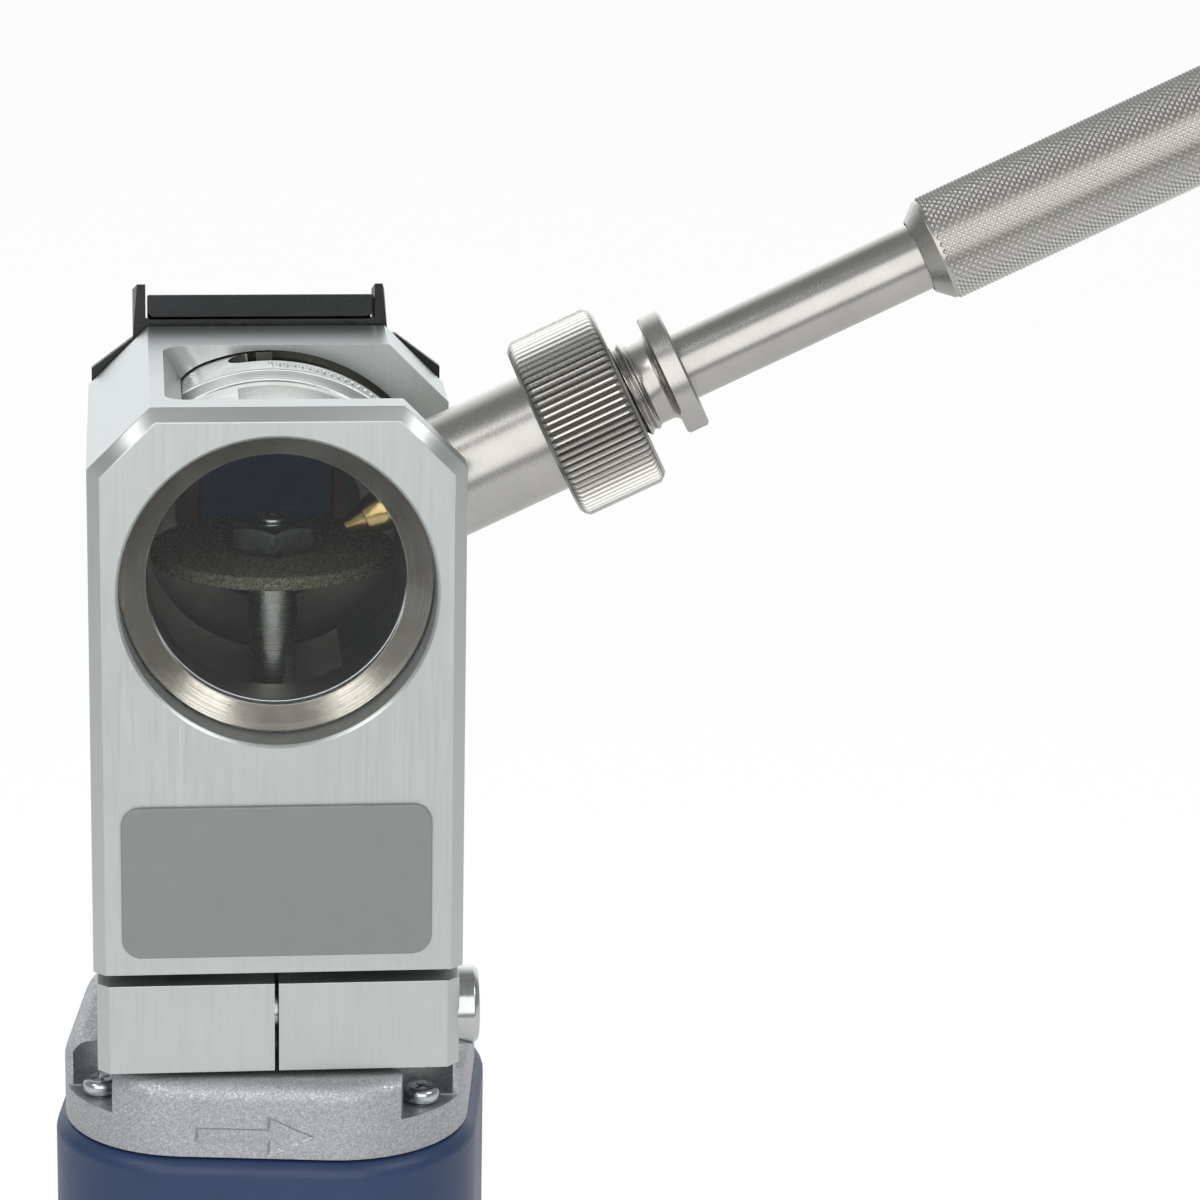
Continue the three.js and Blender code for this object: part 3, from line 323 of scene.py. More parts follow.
# %% [markdown]
# ## Materials
#
# Each material is worked out from the piece's own coordinates, so its grain keeps the true
# size in millimetres and turns with the piece. `pattern` lays a noise along the axes of a
# frame, stretched into lines for brushed metal. `lathe_marks` is noise of the distance from
# an axis and of the place along it, which is how the tool of a lathe leaves its rings.
# `crystals` breaks a surface into small cells, like the skin of a casting or a layer of
# grit. `dress` lets one such pattern mix two colours, and lets another set how rough the
# surface is and how far it rises.

# %% Node helpers
# A noise seldom leaves this middle range, so the range is stretched to fill the whole.
NOISE = (0.35, 0.65)


def linear(code):
    """A screen colour such as #9aa0a6 as the linear light that shaders work in."""
    parts = [int(code[i : i + 2], 16) / 255 for i in (1, 3, 5)]
    return [p / 12.92 if p <= 0.04045 else ((p + 0.055) / 1.055) ** 2.4 for p in parts] + [1.0]


def add(tree, kind, inputs=(), **settings):
    """Adds a node with its settings. Each input gets a value, or a link from another node."""
    made = tree.nodes.new(kind)
    for name, value in settings.items():
        setattr(made, name, value)
    for name, value in dict(inputs).items():
        if isinstance(value, bpy.types.NodeSocket):
            tree.links.new(value, made.inputs[name])
        else:
            made.inputs[name].default_value = value
    return made


def empty_tree(owner):
    """The node tree of a material or a world, cleared."""
    owner.use_nodes = True
    owner.node_tree.nodes.clear()
    return owner.node_tree


def in_frame(tree, axes=None, size=(1, 1, 1)):
    """The object's own coordinates in millimetres, seen in a frame and divided by a size."""
    axes = axes or Matrix()
    where = add(tree, "ShaderNodeTexCoord").outputs["Object"]
    settings = {
        "Vector": where,
        "Location": axes.translation * MM,
        "Rotation": axes.to_euler(),
        "Scale": [s * MM for s in size],
    }
    return add(tree, "ShaderNodeMapping", settings, vector_type="TEXTURE").outputs[0]


def off_axis(tree, local):
    """How far a point lies from the Z axis of its frame."""
    flat = add(tree, "ShaderNodeVectorMath", {0: local, 1: (1, 1, 0)}, operation="MULTIPLY").outputs[0]
    return add(tree, "ShaderNodeVectorMath", {0: flat}, operation="LENGTH").outputs["Value"]


def pattern(tree, size, axes=None, detail=3.0):
    where = in_frame(tree, axes, size)
    return add(tree, "ShaderNodeTexNoise", {"Vector": where, "Scale": 1, "Detail": detail}).outputs[0]


def lathe_marks(tree, axes, size):
    local = in_frame(tree, axes)
    height = add(tree, "ShaderNodeSeparateXYZ", {0: local}).outputs["Z"]
    where = add(tree, "ShaderNodeCombineXYZ", {"X": off_axis(tree, local), "Z": height}).outputs[0]
    settings = {"Vector": where, "Scale": 1 / size, "Detail": 2.0}
    return add(tree, "ShaderNodeTexNoise", settings).outputs[0]


def crystals(tree, size):
    """One random value for each cell, the cells about size millimetres wide."""
    where = {"Vector": in_frame(tree, size=(size,) * 3), "Scale": 1}
    cells = add(tree, "ShaderNodeTexVoronoi", where).outputs["Color"]
    return add(tree, "ShaderNodeSeparateColor", {0: cells}).outputs[0]


def material(name, **inputs):
    """A new material, its tree and its shader with the inputs that are the same all over."""
    made = bpy.data.materials.new(name)
    tree = empty_tree(made)
    shader = add(tree, "ShaderNodeBsdfPrincipled", {k.replace("_", " "): v for k, v in inputs.items()})
    add(tree, "ShaderNodeOutputMaterial", {"Surface": shader.outputs[0]})
    return made, tree, shader


def dress(tree, shader, shade, colours, relief, rough, depth, shades=NOISE, reliefs=NOISE, under=None):
    """Shade mixes the two colours. Relief sets the roughness and rises by depth millimetres."""
    span = {"Value": shade, "From Min": shades[0], "From Max": shades[1]}
    share = add(tree, "ShaderNodeMapRange", span).outputs[0]
    pair = {0: share, 6: linear(colours[0]), 7: linear(colours[1])}
    links = {"Base Color": add(tree, "ShaderNodeMix", pair, data_type="RGBA").outputs[2]}
    span = {"Value": relief, "From Min": reliefs[0], "From Max": reliefs[1]}
    span.update({"To Min": rough[0], "To Max": rough[1]})
    links["Roughness"] = add(tree, "ShaderNodeMapRange", span).outputs[0]
    if depth:
        rise = {"Height": relief, "Distance": depth * MM, "Strength": 1.0}
        if under:
            rise["Normal"] = under
        links["Normal"] = add(tree, "ShaderNodeBump", rise).outputs[0]
    for name, socket in links.items():
        tree.links.new(socket, shader.inputs[name])


# %% [markdown]
# The head is milled from an aluminium bar and then brushed along its height: hair-fine
# upright lines. The drum and the tubes are turned, so their lines run round. Where hands and
# clamps touch the metal it is a little duller, which a slow second noise adds. Knurled steel
# gets painted shade: it is dark in its grooves and bright on its crests, so its colour goes by
# the distance from the axis. Real brush lines and tool marks are about 0.05 mm wide, too fine
# to show in the picture, so they are drawn 0.14 to 0.40 mm wide.

# %% Metals
def brushed_metal(name, dull, bright, rough, line, depth, slow=14.0):
    made, tree, shader = material(name, Metallic=1.0)
    lines = pattern(tree, line)
    faint = {"From Min": NOISE[0], "From Max": NOISE[1], "To Min": 0.45, "To Max": 0.55}
    faint["Value"] = pattern(tree, (slow,) * 3)
    stains = add(tree, "ShaderNodeMapRange", faint).outputs[0]
    both = {0: lines, 1: stains, 2: 0.25}
    tint = add(tree, "ShaderNodeMath", both, operation="MULTIPLY_ADD").outputs[0]
    dress(tree, shader, tint, (dull, bright), lines, rough, depth, shades=(0.38, 0.62))
    return made


def turned_metal(name, dull, bright, rough, ring, depth, axes, metallic=1.0):
    made, tree, shader = material(name, Metallic=metallic)
    stains = pattern(tree, (9, 9, 9), axes)
    dress(tree, shader, stains, (dull, bright), lathe_marks(tree, axes, ring), rough, depth)
    return made


def knurled_metal_painted_shade(name, groove, crest, radii, rough):
    """Painted shade: the colour of the groove turns into that of the crest between two distances from the
    axis.
    """
    made, tree, shader = material(name, Metallic=1.0)
    radius = off_axis(tree, in_frame(tree, ALONG_TUBE))
    dress(tree, shader, radius, (groove, crest), pattern(tree, (0.5,) * 3), rough, 0, shades=radii)
    return made


# Pale and silky: the brush lines blur what the flat faces mirror.
milled_aluminium = brushed_metal(
    "aluminium_milled_and_brushed", "#c6cac9", "#cfd3d1", (0.36, 0.44), (0.18, 0.18, 10), 0.002
)
# The brightest metal here, with soft rings that shimmer as the drum swings.
drum_aluminium = turned_metal(
    "aluminium_turned_bright", "#d9dbd9", "#e4e5e3", (0.26, 0.34), 0.35, 0.0015, ALONG_DRUM
)
# The same metal painted darker, as painted shade, so that the inside of the head stays dark.
painted_shade_aluminium = turned_metal(
    "aluminium_bored_and_dusty", "#75746c", "#86857c", (0.38, 0.50), 0.35, 0.0015, ALONG_DRUM
)
# Warm grey with long sharp bands of light and dark along the tubes.
tube_steel = turned_metal(
    "stainless_steel_turned", "#b2b0ab", "#bcbab5", (0.24, 0.28), 0.14, 0.0004, ALONG_TUBE
)
# Points that each catch a lamp, so that the handle sparkles evenly. Its grooves get painted shade.
handle_steel = knurled_metal_painted_shade(
    "stainless_steel_cross_knurled", "#a8a6a0", "#e0deda", (8.45, 8.75), (0.25, 0.32)
)
# Bright ridges with nearly black lines of painted shade between them.
nut_steel = knurled_metal_painted_shade(
    "stainless_steel_straight_knurled", "#74726c", "#cdcbc6", (14.75, 15.25), (0.22, 0.28)
)
# A thin upright glint on the mandrel and the shaft.
upright_steel = turned_metal(
    "steel_turned_and_ground", "#bbbab5", "#cccbc6", (0.22, 0.30), 0.25, 0.001, Matrix()
)
# Cold and mirror-like, as new fasteners are.
screw_steel = turned_metal(
    "steel_turned_and_zinc_plated", "#b3b5b4", "#c8cac9", (0.14, 0.22), 0.30, 0.002, ALONG_X
)
# A darker, colder mirror than the tubes, from fine grinding.
bearing_steel = turned_metal(
    "bearing_steel_ground", "#9a9c9e", "#adafb1", (0.16, 0.24), 0.30, 0.002, IN_MOTOR
)
# A warm yellow point inside the dark head.
brass = turned_metal("brass_turned", "#c2a468", "#dcc187", (0.16, 0.24), 0.20, 0.003, ALONG_TUBE)
# Duller and browner, as drawn tube is that nobody polishes.
motor_brass = turned_metal(
    "brass_drawn_tube", "#b0904f", "#c6a561", (0.24, 0.34), 0.40, 0.002, IN_MOTOR
)
# Red metal with the fine rings of the last cut that the brushes run on.
copper = turned_metal(
    "copper_commutator_skimmed", "#a55f3c", "#bd7950", (0.24, 0.34), 0.25, 0.002, IN_MOTOR
)
# Slightly cloudy and bluish, from the bath that plates small parts together.
zinc_steel = brushed_metal(
    "steel_zinc_plated", "#b4b9ba", "#cdd2d2", (0.16, 0.24), (0.9, 0.9, 0.9), 0.002, slow=3.0
)
# Dark sheets half a millimetre thick, seen edge on as fine level lines.
laminations = brushed_metal(
    "sheet_steel_laminated_and_varnished", "#4c4e52", "#6a6c70", (0.40, 0.60), (60, 60, 0.5), 0.03
)
print("metals:", len(bpy.data.materials))

# %% [markdown]
# The flange is an aluminium casting. Its skin is a fine sparkling grain, each crystal
# tilted its own way, over softer lumps from the mould. A Voronoi pattern gives the crystals:
# one random value per cell moves the roughness and the brightness together.

# %% Cast aluminium
# Grey with a sparkle: only the brightest cells are smooth enough to glint.
cast_aluminium, tree, shader = material("aluminium_die_cast", Metallic=1.0)
mould = {"Height": pattern(tree, (1.4, 1.4, 1.4), detail=4), "Distance": 0.06 * MM, "Strength": 1.0}
lumps = add(tree, "ShaderNodeBump", mould).outputs[0]
crystal = crystals(tree, 0.22)
dress(
    tree, shader, crystal, ("#a9abad", "#c9cbcc"), crystal, (0.58, 0.32), 0.028,
    shades=(0.1, 0.95), reliefs=(0.72, 1.0), under=lumps,
)
print("with cast aluminium:", len(bpy.data.materials))

# %% [markdown]
# The disc is a steel plate plated with diamond grit, olive grey and rough, with single
# grains that glint. The plastics are plain with a faint grain from the mould, and the black
# sheet metal is powder coated: the coat pulls into a fine orange-peel skin as it melts.

# %% Grit, paint and plastics
def grained(name, dark, light, rough, size, depth, **inputs):
    """A dull material with a grain of size millimetres and slow blotches twelve times as wide."""
    made, tree, shader = material(name, **inputs)
    blotches = pattern(tree, (size * 12,) * 3)
    dress(tree, shader, blotches, (dark, light), pattern(tree, (size,) * 3), rough, depth)
    return made


# Deep navy with a soft sheen and a skin too smooth to see the grain.
blue_plastic = grained("polyamide_moulded_navy", "#23385b", "#263c60", (0.36, 0.46), 0.5, 0.008)
# Charcoal with a faint grain that dulls every highlight.
black_plastic = grained("polyamide_moulded_black", "#17181a", "#1f2023", (0.45, 0.60), 0.4, 0.02)
# Nearly black and nearly without highlights.
rubber = grained("rubber_moulded_black", "#141414", "#1b1b1b", (0.65, 0.80), 0.4, 0.02)
# Black with small wavy highlights from the orange peel.
black_paint = grained(
    "sheet_steel_powder_coated_black", "#121416", "#191b1e", (0.30, 0.48), 0.55, 0.05
)
# Dark grey and dusty, as pencil lead is.
carbon = grained("carbon_pressed_brush", "#1c1c1d", "#28282a", (0.55, 0.75), 0.3, 0.02)
# Brown, dry and fibrous.
cardboard = grained("cardboard_pressed_frame", "#5d4432", "#705340", (0.85, 0.95), 0.8, 0.06)
# A soft blue felt whose fibres light up along the edge.
fleece = grained(
    "fleece_filter_blue", "#1f3a63", "#2b4b7c", (0.90, 1.00), 0.35, 0.25, Sheen_Weight=0.3
)
# An even mid grey between paint and metal.
satin_plate = grained(
    "aluminium_foil_satin_grey", "#8a8e8d", "#8c908f", (0.42, 0.46), 0.25, 0.002, Metallic=0.35
)

# Olive grey with sparks: a few cells, the grains that face a lamp, are smooth. Real grains are
# about 0.1 mm wide and wouldn't show, so the cells are 0.22 mm.
diamond_grit, tree, shader = material("diamond_grit_nickel_plated", Metallic=0.55)
grit = crystals(tree, 0.22)
dress(
    tree, shader, grit, ("#48473a", "#8f8d76"), grit, (0.72, 0.30), 0.09,
    shades=(0.3, 1.0), reliefs=(0.75, 1.0),
)
print("with grit, paint and plastics:", len(bpy.data.materials))

# %% [markdown]
# The window is clear acrylic. Real glass would need thousands of light paths to let lamp
# light through its shadow, so for shadow rays it is simply see-through. Its bevelled rear rim
# is what the photo shows as a bright ring: light meets that slope so flatly that it is turned
# back as if by a mirror. A mirror with the rings of the lathe on it looks the same from in
# front and costs far fewer light paths.

# %% Clear window and its bevel
# Hardly there: a faint mirror of the room over what lies behind it.
clear_lens, tree, shader = material(
    "acrylic_turned_and_polished",
    Base_Color=linear("#f4f7f7"), IOR=1.49, Transmission_Weight=1.0, Roughness=0.0,
)
shadow = add(tree, "ShaderNodeLightPath").outputs["Is Shadow Ray"]
open_air = add(tree, "ShaderNodeBsdfTransparent", {"Color": linear("#e6eaea")}).outputs[0]
either = add(tree, "ShaderNodeMixShader", {0: shadow, 1: shader.outputs[0], 2: open_air}).outputs[0]
tree.links.new(either, tree.nodes["Material Output"].inputs["Surface"])
# A silvery ring with fine circles in it.
lens_bevel = turned_metal(
    "acrylic_bevel_turned_bright", "#a8a297", "#cbc5bb", (0.12, 0.26), 0.25, 0.003, ALONG_DRUM,
    metallic=0.8,
)
print("materials:", len(bpy.data.materials))

# %% [markdown]
# ## The head block
#
# On the real machine the head is one piece of aluminium bar. Its two upper edges are
# chamfered, the front has a wide bevel all round, and under it hangs a split clamp that
# grips the neck of the motor. The big bore for the drum runs through from the back, and a
# stepped bore in front of it holds the window. A curved pocket opens the top and the right
# side, so that the holder can swing. Each of those is one cutting body here too, as it was
# one pass of a tool in the workshop.

# %% Head block: the bar and the clamp
HALF = 30.0
BEVEL = 2.0
BACK_BEVEL = 0.8
CHAMFER = 10.0
BLOCK_LOW = 256.0
CLAMP_LOW, CLAMP_TOP = 238.9, 254.1
# How far a cutting body reaches past the metal, and the air left beside a part that moves.
PAST = 3.0
AIR = 0.3


def head_outline(inset):
    side = HALF - inset
    slope = inset * tan(radians(22.5))
    edge = HALF - CHAMFER - slope
    low, top = BLOCK_TOP - CHAMFER - slope, BLOCK_TOP - inset
    right = [(side, BLOCK_LOW), (side, low), (edge, top)]
    return right + [(-x, z) for x, z in reversed(right)]


levels = ((0, BEVEL), (BEVEL, 0), (2 * HALF - BACK_BEVEL, 0), (2 * HALF, BACK_BEVEL))
head = as_object(
    "head_block_fine",
    loft([[(x, BLOCK_FRONT + y, z) for x, z in head_outline(inset)] for y, inset in levels]),
)
soften(head, 0.14)
jaws = prism(rounded_box(2 * HALF - 1, 2 * HALF, BEVEL, steps=1), CLAMP_LOW, CLAMP_TOP)
jaws = soften(as_object("jaws", jaws), 0.14)
# The clamp hangs from the bar by its rear half only, so that its jaws can close.
hinge = box((0.6 - HALF, HALF - 0.6), (-2.0, HALF - BEVEL), (CLAMP_TOP - PAST, BLOCK_LOW + PAST))
unite(head, jaws, hinge)
print("bar and clamp:", len(head.data.polygons), "faces")

# %% Head block: bores, pocket and slit
WINDOW_BORE = 25.3
DRUM_BORE = 29.1
POCKET = (7.0, 44.9)
POCKET_WALL = 120.4
POCKET_FLOOR = 27.0
FRONT_CORNER, REAR_CORNER = 3.0, 4.5


def along_drum(radius, start, end, steps=160):
    return placed(rod(radius, start, end, steps), ALONG_DRUM)


def pocket_tools():
    """The path of the milling cutter: a wall with round corners, opened towards the right."""
    front, rear = POCKET
    corners = [(6.0, front)] + arc(FRONT_CORNER, 270, 180, 10, FRONT_CORNER, front + FRONT_CORNER)
    corners += arc(REAR_CORNER, 180, 90, 12, REAR_CORNER, rear - REAR_CORNER) + [(6.0, rear)]
    wall = as_object("pocket_wall", placed(prism(corners, 0, 2 * HALF), outward(POCKET_WALL)))
    a, far = radians(POCKET_WALL), 2 * HALF
    start = (REAR_CORNER * sin(a), -REAR_CORNER * cos(a))
    end = (start[0] + far * cos(a), start[1] + far * sin(a))
    wedge = [(0, 0), start, end, (far, far), (far, far * tan(radians(-18)))]
    opening = placed(faced(wedge, POCKET), shift(0, BLOCK_FRONT, DRUM_Z))
    core = along_drum(POCKET_FLOOR, -PAST, 2 * HALF + PAST)
    return [cut(tool, core) for tool in (wall, as_object("pocket_opening", opening))]


window_steps = [
    (0, -PAST), (WINDOW_BORE + 3.5, -PAST), (WINDOW_BORE + 0.5, 0), (WINDOW_BORE, 0.5),
    (WINDOW_BORE, 9.0), (23.0, 9.0), (23.0, 10.7), (DRUM_BORE, 10.7), (DRUM_BORE, 63.0), (0, 63.0),
]
CLAMP_SCREW = shift(0, -21.5, (CLAMP_LOW + CLAMP_TOP) / 2) @ ALONG_X
LOCK_SCREW = shift(0, 20.0, DRUM_Z - 22) @ turn("Y", -90)
BACK_SCREWS = [
    shift(side * 26.2, 32.1, BLOCK_TOP + z) @ ALONG_Y for side in (-1, 1) for z in (-11.5, -80)
]
# From below: the seat of the motor's neck, room for the collet nut, and the mandrel's way up.
cut(
    head,
    rod(17.8, CLAMP_LOW - PAST, 257.0),
    rod(15.0, 250.0, 286.0),
    rod(6.0, 283.0, DRUM_Z),
    placed(revolve(window_steps, 256), ALONG_DRUM),
    *pocket_tools(),
    box((-0.75, -0.05), (BLOCK_FRONT - PAST, 0), (CLAMP_LOW - PAST, (CLAMP_TOP + BLOCK_LOW) / 2)),
    placed(rod(4.0, -HALF - PAST, HALF + PAST, 48), CLAMP_SCREW),
    placed(rod(6.8, 24.7, HALF + PAST, 64), CLAMP_SCREW),
    placed(rod(2.8, 18.0, HALF + PAST, 48), LOCK_SCREW),
    *[placed(rod(1.8, -8.3, AIR, 32), place) for place in BACK_SCREWS],
)
soften(head, 0.12)
deliver(head, "housing", milled_aluminium, "milled_aluminium", "head_block", sharp=24)

# %% [markdown]
# The window is a turned disc of clear acrylic, flat in front and bevelled round its rear
# edge. The faces of that bevel get the bright material. They lie further out than the flat of
# the rear face and behind the rim, so they are picked by where their middle is. The name
# plate is thin sheet glued to the front. It is an outline with round corners run back by its
# thickness, which keeps its edge crisp where the light catches it.

# %% Window and name plate
LENS_FLAT, LENS_EDGE, LENS_RIM, LENS_REAR = 20.9, 25.0, 6.9, 8.7
lens_profile = [
    (0, 6.0), (LENS_EDGE, 6.0), (LENS_EDGE, LENS_RIM), (LENS_FLAT, LENS_REAR), (0, LENS_REAR),
]
lens = as_object("window_lens_fine", placed(revolve(lens_profile, 256, 0.15), ALONG_DRUM))
deliver(lens, "housing", clear_lens, "clear_lens", "window_lens", sharp=10)
repaint(lens, lens_bevel, ALONG_DRUM, lambda p: p.xy.length > LENS_FLAT and p.z > LENS_RIM)

plate_outline = rounded_box(50.0, 25.6, 3.2, -0.3, BLOCK_TOP - 78.2, 12)
plate = as_object("name_plate_fine", faced(plate_outline, (BLOCK_FRONT - 0.7, BLOCK_FRONT - 0.1)))
soften(plate, 0.25, 3)
deliver(plate, "housing", satin_plate, "satin_plate", "name_plate")

# %% [markdown]
# ## The swivel drum
#
# The drum is what sets the grinding angle. It is one turned ring that lies in the big bore.
# A channel in its front tread clears the guide tube, a groove in its rear tread, open to the
# back, limits the swing, and a row of short milled marks, one every two and a half degrees,
# lets the welder repeat an angle. A through slot low on the left lets the drum pass the
# standing mandrel. The bore and the groove get a darker material: painted shade.

# %% Swivel drum
BORE = 20.8
CHANNEL_FLOOR = 24.8
TREAD = 28.8
GROOVE = 38.7
MARK_STEP = 2.5


def sector(inner, outer, start, end, y, steps=64):
    """A slice of a ring about the drum axis, seen from the front."""
    outline = arc(outer, start, end, steps) + arc(inner, end, start, steps)
    return placed(faced(outline, y), shift(0, BLOCK_FRONT, DRUM_Z))


def mark(length, azimuth, back):
    """A milled line along the axis of the drum, half a millimetre deep in the tread."""
    line = prism(rounded_box(0.85, length, 0.4, steps=3), TREAD - 0.5, TREAD + PAST)
    return placed(line, outward(azimuth) @ shift(0, back, 0))


drum_profile = [
    (BORE, 11.0), (26.8, 11.0), (26.8, 32.8), (TREAD, 32.8), (TREAD, 54.0),
    (15.5, 54.0), (15.5, 52.0), (25.0, 52.0), (25.0, 41.5), (BORE, 41.5),
]
drum = as_object("swivel_drum_fine", placed(revolve(drum_profile, 256, 0.3), ALONG_DRUM))
groove_end = placed(rod(3.0, 26.2, 33.0, 46), outward(97.8) @ shift(0, 41.8, 0))
tube_seat = as_object("seat", placed(rod(10.3, 0, TREAD + PAST, 96), ALONG_TUBE))
cut(tube_seat, along_drum(CHANNEL_FLOOR - 0.06, 0, 2 * HALF))
marks = [mark(2.9, 90 - i * MARK_STEP, 35.7) for i in range(1, 17)]
# A Boolean can fail where two bodies share a face, so cuts that meet end 0.1 mm apart.
cut(
    drum,
    sector(CHANNEL_FLOOR, 30.0, 102, -60, (13.0, 29.8), 120),
    sector(26.8, 32.0, 98, 20, (GROOVE, 44.9)),
    groove_end,
    sector(26.7, 32.1, 89, 20.3, (44.0, 50.5)),
    sector(26.6, 32.2, 97.3, 94.5, (44.1, 50.4), 8),
    sector(17.7, 32.3, 88.6, 78, (39.8, 43.7), 12),
    sector(17.8, 32.0, 190, 302, (19.5, 40.5), 96),
    placed(rod(7.3, 0, 32.0, 64), ALONG_TUBE),
    tube_seat,
    joined(*marks),
    mark(5.0, 90, 35.8),
)
soften(drum, 0.1)
deliver(drum, "swivel", drum_aluminium, "turned_aluminium", "swivel_drum")


# Picks the faces of the bore and the groove, which get painted shade.
def in_painted_shade(point):
    in_bore = point.xy.length < BORE + 0.2
    return in_bore or (point.xy.length < TREAD - 0.9 and point.z > GROOVE - 0.1)


repaint(drum, painted_shade_aluminium, ALONG_DRUM, in_painted_shade)
turned(
    "drum_retainer", "housing", drum_aluminium, "milled_aluminium", ALONG_DRUM, 192, 0.3,
    [(18.0, 54.3), (TREAD, 54.3), (TREAD, 56.9), (18.0, 56.9)],
)

# %% [markdown]
# ## The electrode holder
#
# From the drum outward: the guide tube that is pressed into the drum, the knurled nut that
# clamps, the threaded sleeve that sets the length of the electrode, and the slim tube with
# the knurled handle that the welder turns while grinding. A thread is a profile that climbs
# one pitch for each turn, so each ring of `threaded` is pushed in or out by where it is on
# that climb.

# %% Guide tube, sleeve, holder tube and nozzle
guide = as_object("guide_tube_fine", placed(rod(10.0, 0, 60.0, 128, 0.4), ALONG_TUBE))
cut(guide, along_drum(25.1, 0, 2 * HALF, 192))
spigot = as_object("spigot", placed(rod(7.0, 0, 27.8, 96), ALONG_TUBE))
cut(spigot, along_drum(21.1, 0, 2 * HALF, 192))
unite(guide, spigot)
cut(guide, placed(rod(5.9, 0, 63.0), ALONG_TUBE), placed(rod(8.3, 44.7, 63.0), ALONG_TUBE))
deliver(guide, "swivel", tube_steel, "turned_steel", "guide_tube")

# The thread is a fine one for 16 mm: each turn climbs 1.5 mm.
PITCH = 1.5
THREAD_DEPTH = 0.8
RINGS_PER_TURN = 10
SLEEVE = 8.0


def threaded(radius, start, end):
    """Rings of a screw thread about Z that fades out at both ends."""
    rings = []
    count = int((end - start) / PITCH * RINGS_PER_TURN)
    for k in range(count + 1):
        z = start + (end - start) * k / count
        fade = min(1.0, (z - start) / PITCH + 0.2, (end - z) / PITCH + 0.2)
        ring = []
        for i in range(AROUND):
            climb = (z / PITCH - i / AROUND) % 1.0
            crest = min(1.0, max(0.0, 2.3 * abs(climb - 0.5) - 0.12))
            r = radius - THREAD_DEPTH * (1 - crest * fade)
            angle = 2 * pi * i / AROUND
            ring.append((r * cos(angle), r * sin(angle), z))
        rings.append(ring)
    return rings


waist = [(7.0, 66.4), (6.9, 66.9), (6.9, 68.6), (7.1, 69.2), (7.7, 69.7)]
collar = [(9.8, 69.7), (10.2, 70.1), (10.2, 73.1), (9.8, 73.5)]
bore = [(6.3, 73.5), (5.9, 73.2), (5.9, 45.2), (6.1, 45.0)]
sleeve_rings = threaded(SLEEVE, 45.0, 66.2) + [circle(r, z) for r, z in waist + collar + bore]
sleeve = as_object("adjusting_sleeve_fine", loft(sleeve_rings, capped=False))
flat = box((9.3, 14.0), (-14.0, 14.0), (69.0, 74.5))
cut(sleeve, *[placed(flat, turn("Z", side - 42)) for side in (0, 180)])
soften(sleeve, 0.12, angle=45)
sleeve.data.transform(ALONG_TUBE)
deliver(sleeve, "sleeve", tube_steel, "turned_steel", "adjusting_sleeve")

turned(
    "holder_tube", "holder", tube_steel, "turned_steel", ALONG_TUBE, 128, 0.2,
    [
        (3.3, 20.9), (5.4, 20.9), (5.4, 40.0), (5.6, 40.0), (5.6, 139.7),
        (2.2, 139.7), (2.2, 27.2), (3.3, 27.2),
    ],
)
turned(
    "electrode_nozzle", "holder", brass, "brass", ALONG_TUBE, 96, 0.12,
    [
        (0.8, 12.75), (1.2, 12.75), (2.3, 16.4), (2.75, 16.4), (3.6, 19.0), (3.6, 20.6),
        (3.0, 20.6), (3.0, 26.9), (0.8, 26.9),
    ],
)

# %% [markdown]
# ## Knurls
#
# A knurl is one small ridge or pyramid repeated hundreds of times round a grip, so it is
# made with Geometry Nodes. The tree numbers a line of points, turns each number into a row
# and a place in that row, lays the points round the axis, and puts a copy of one small
# tooth on each. Every other row is shifted by half a tooth, which gives the diamond pattern.
# That arithmetic is a table here: each line of it is one small sum and makes one node.

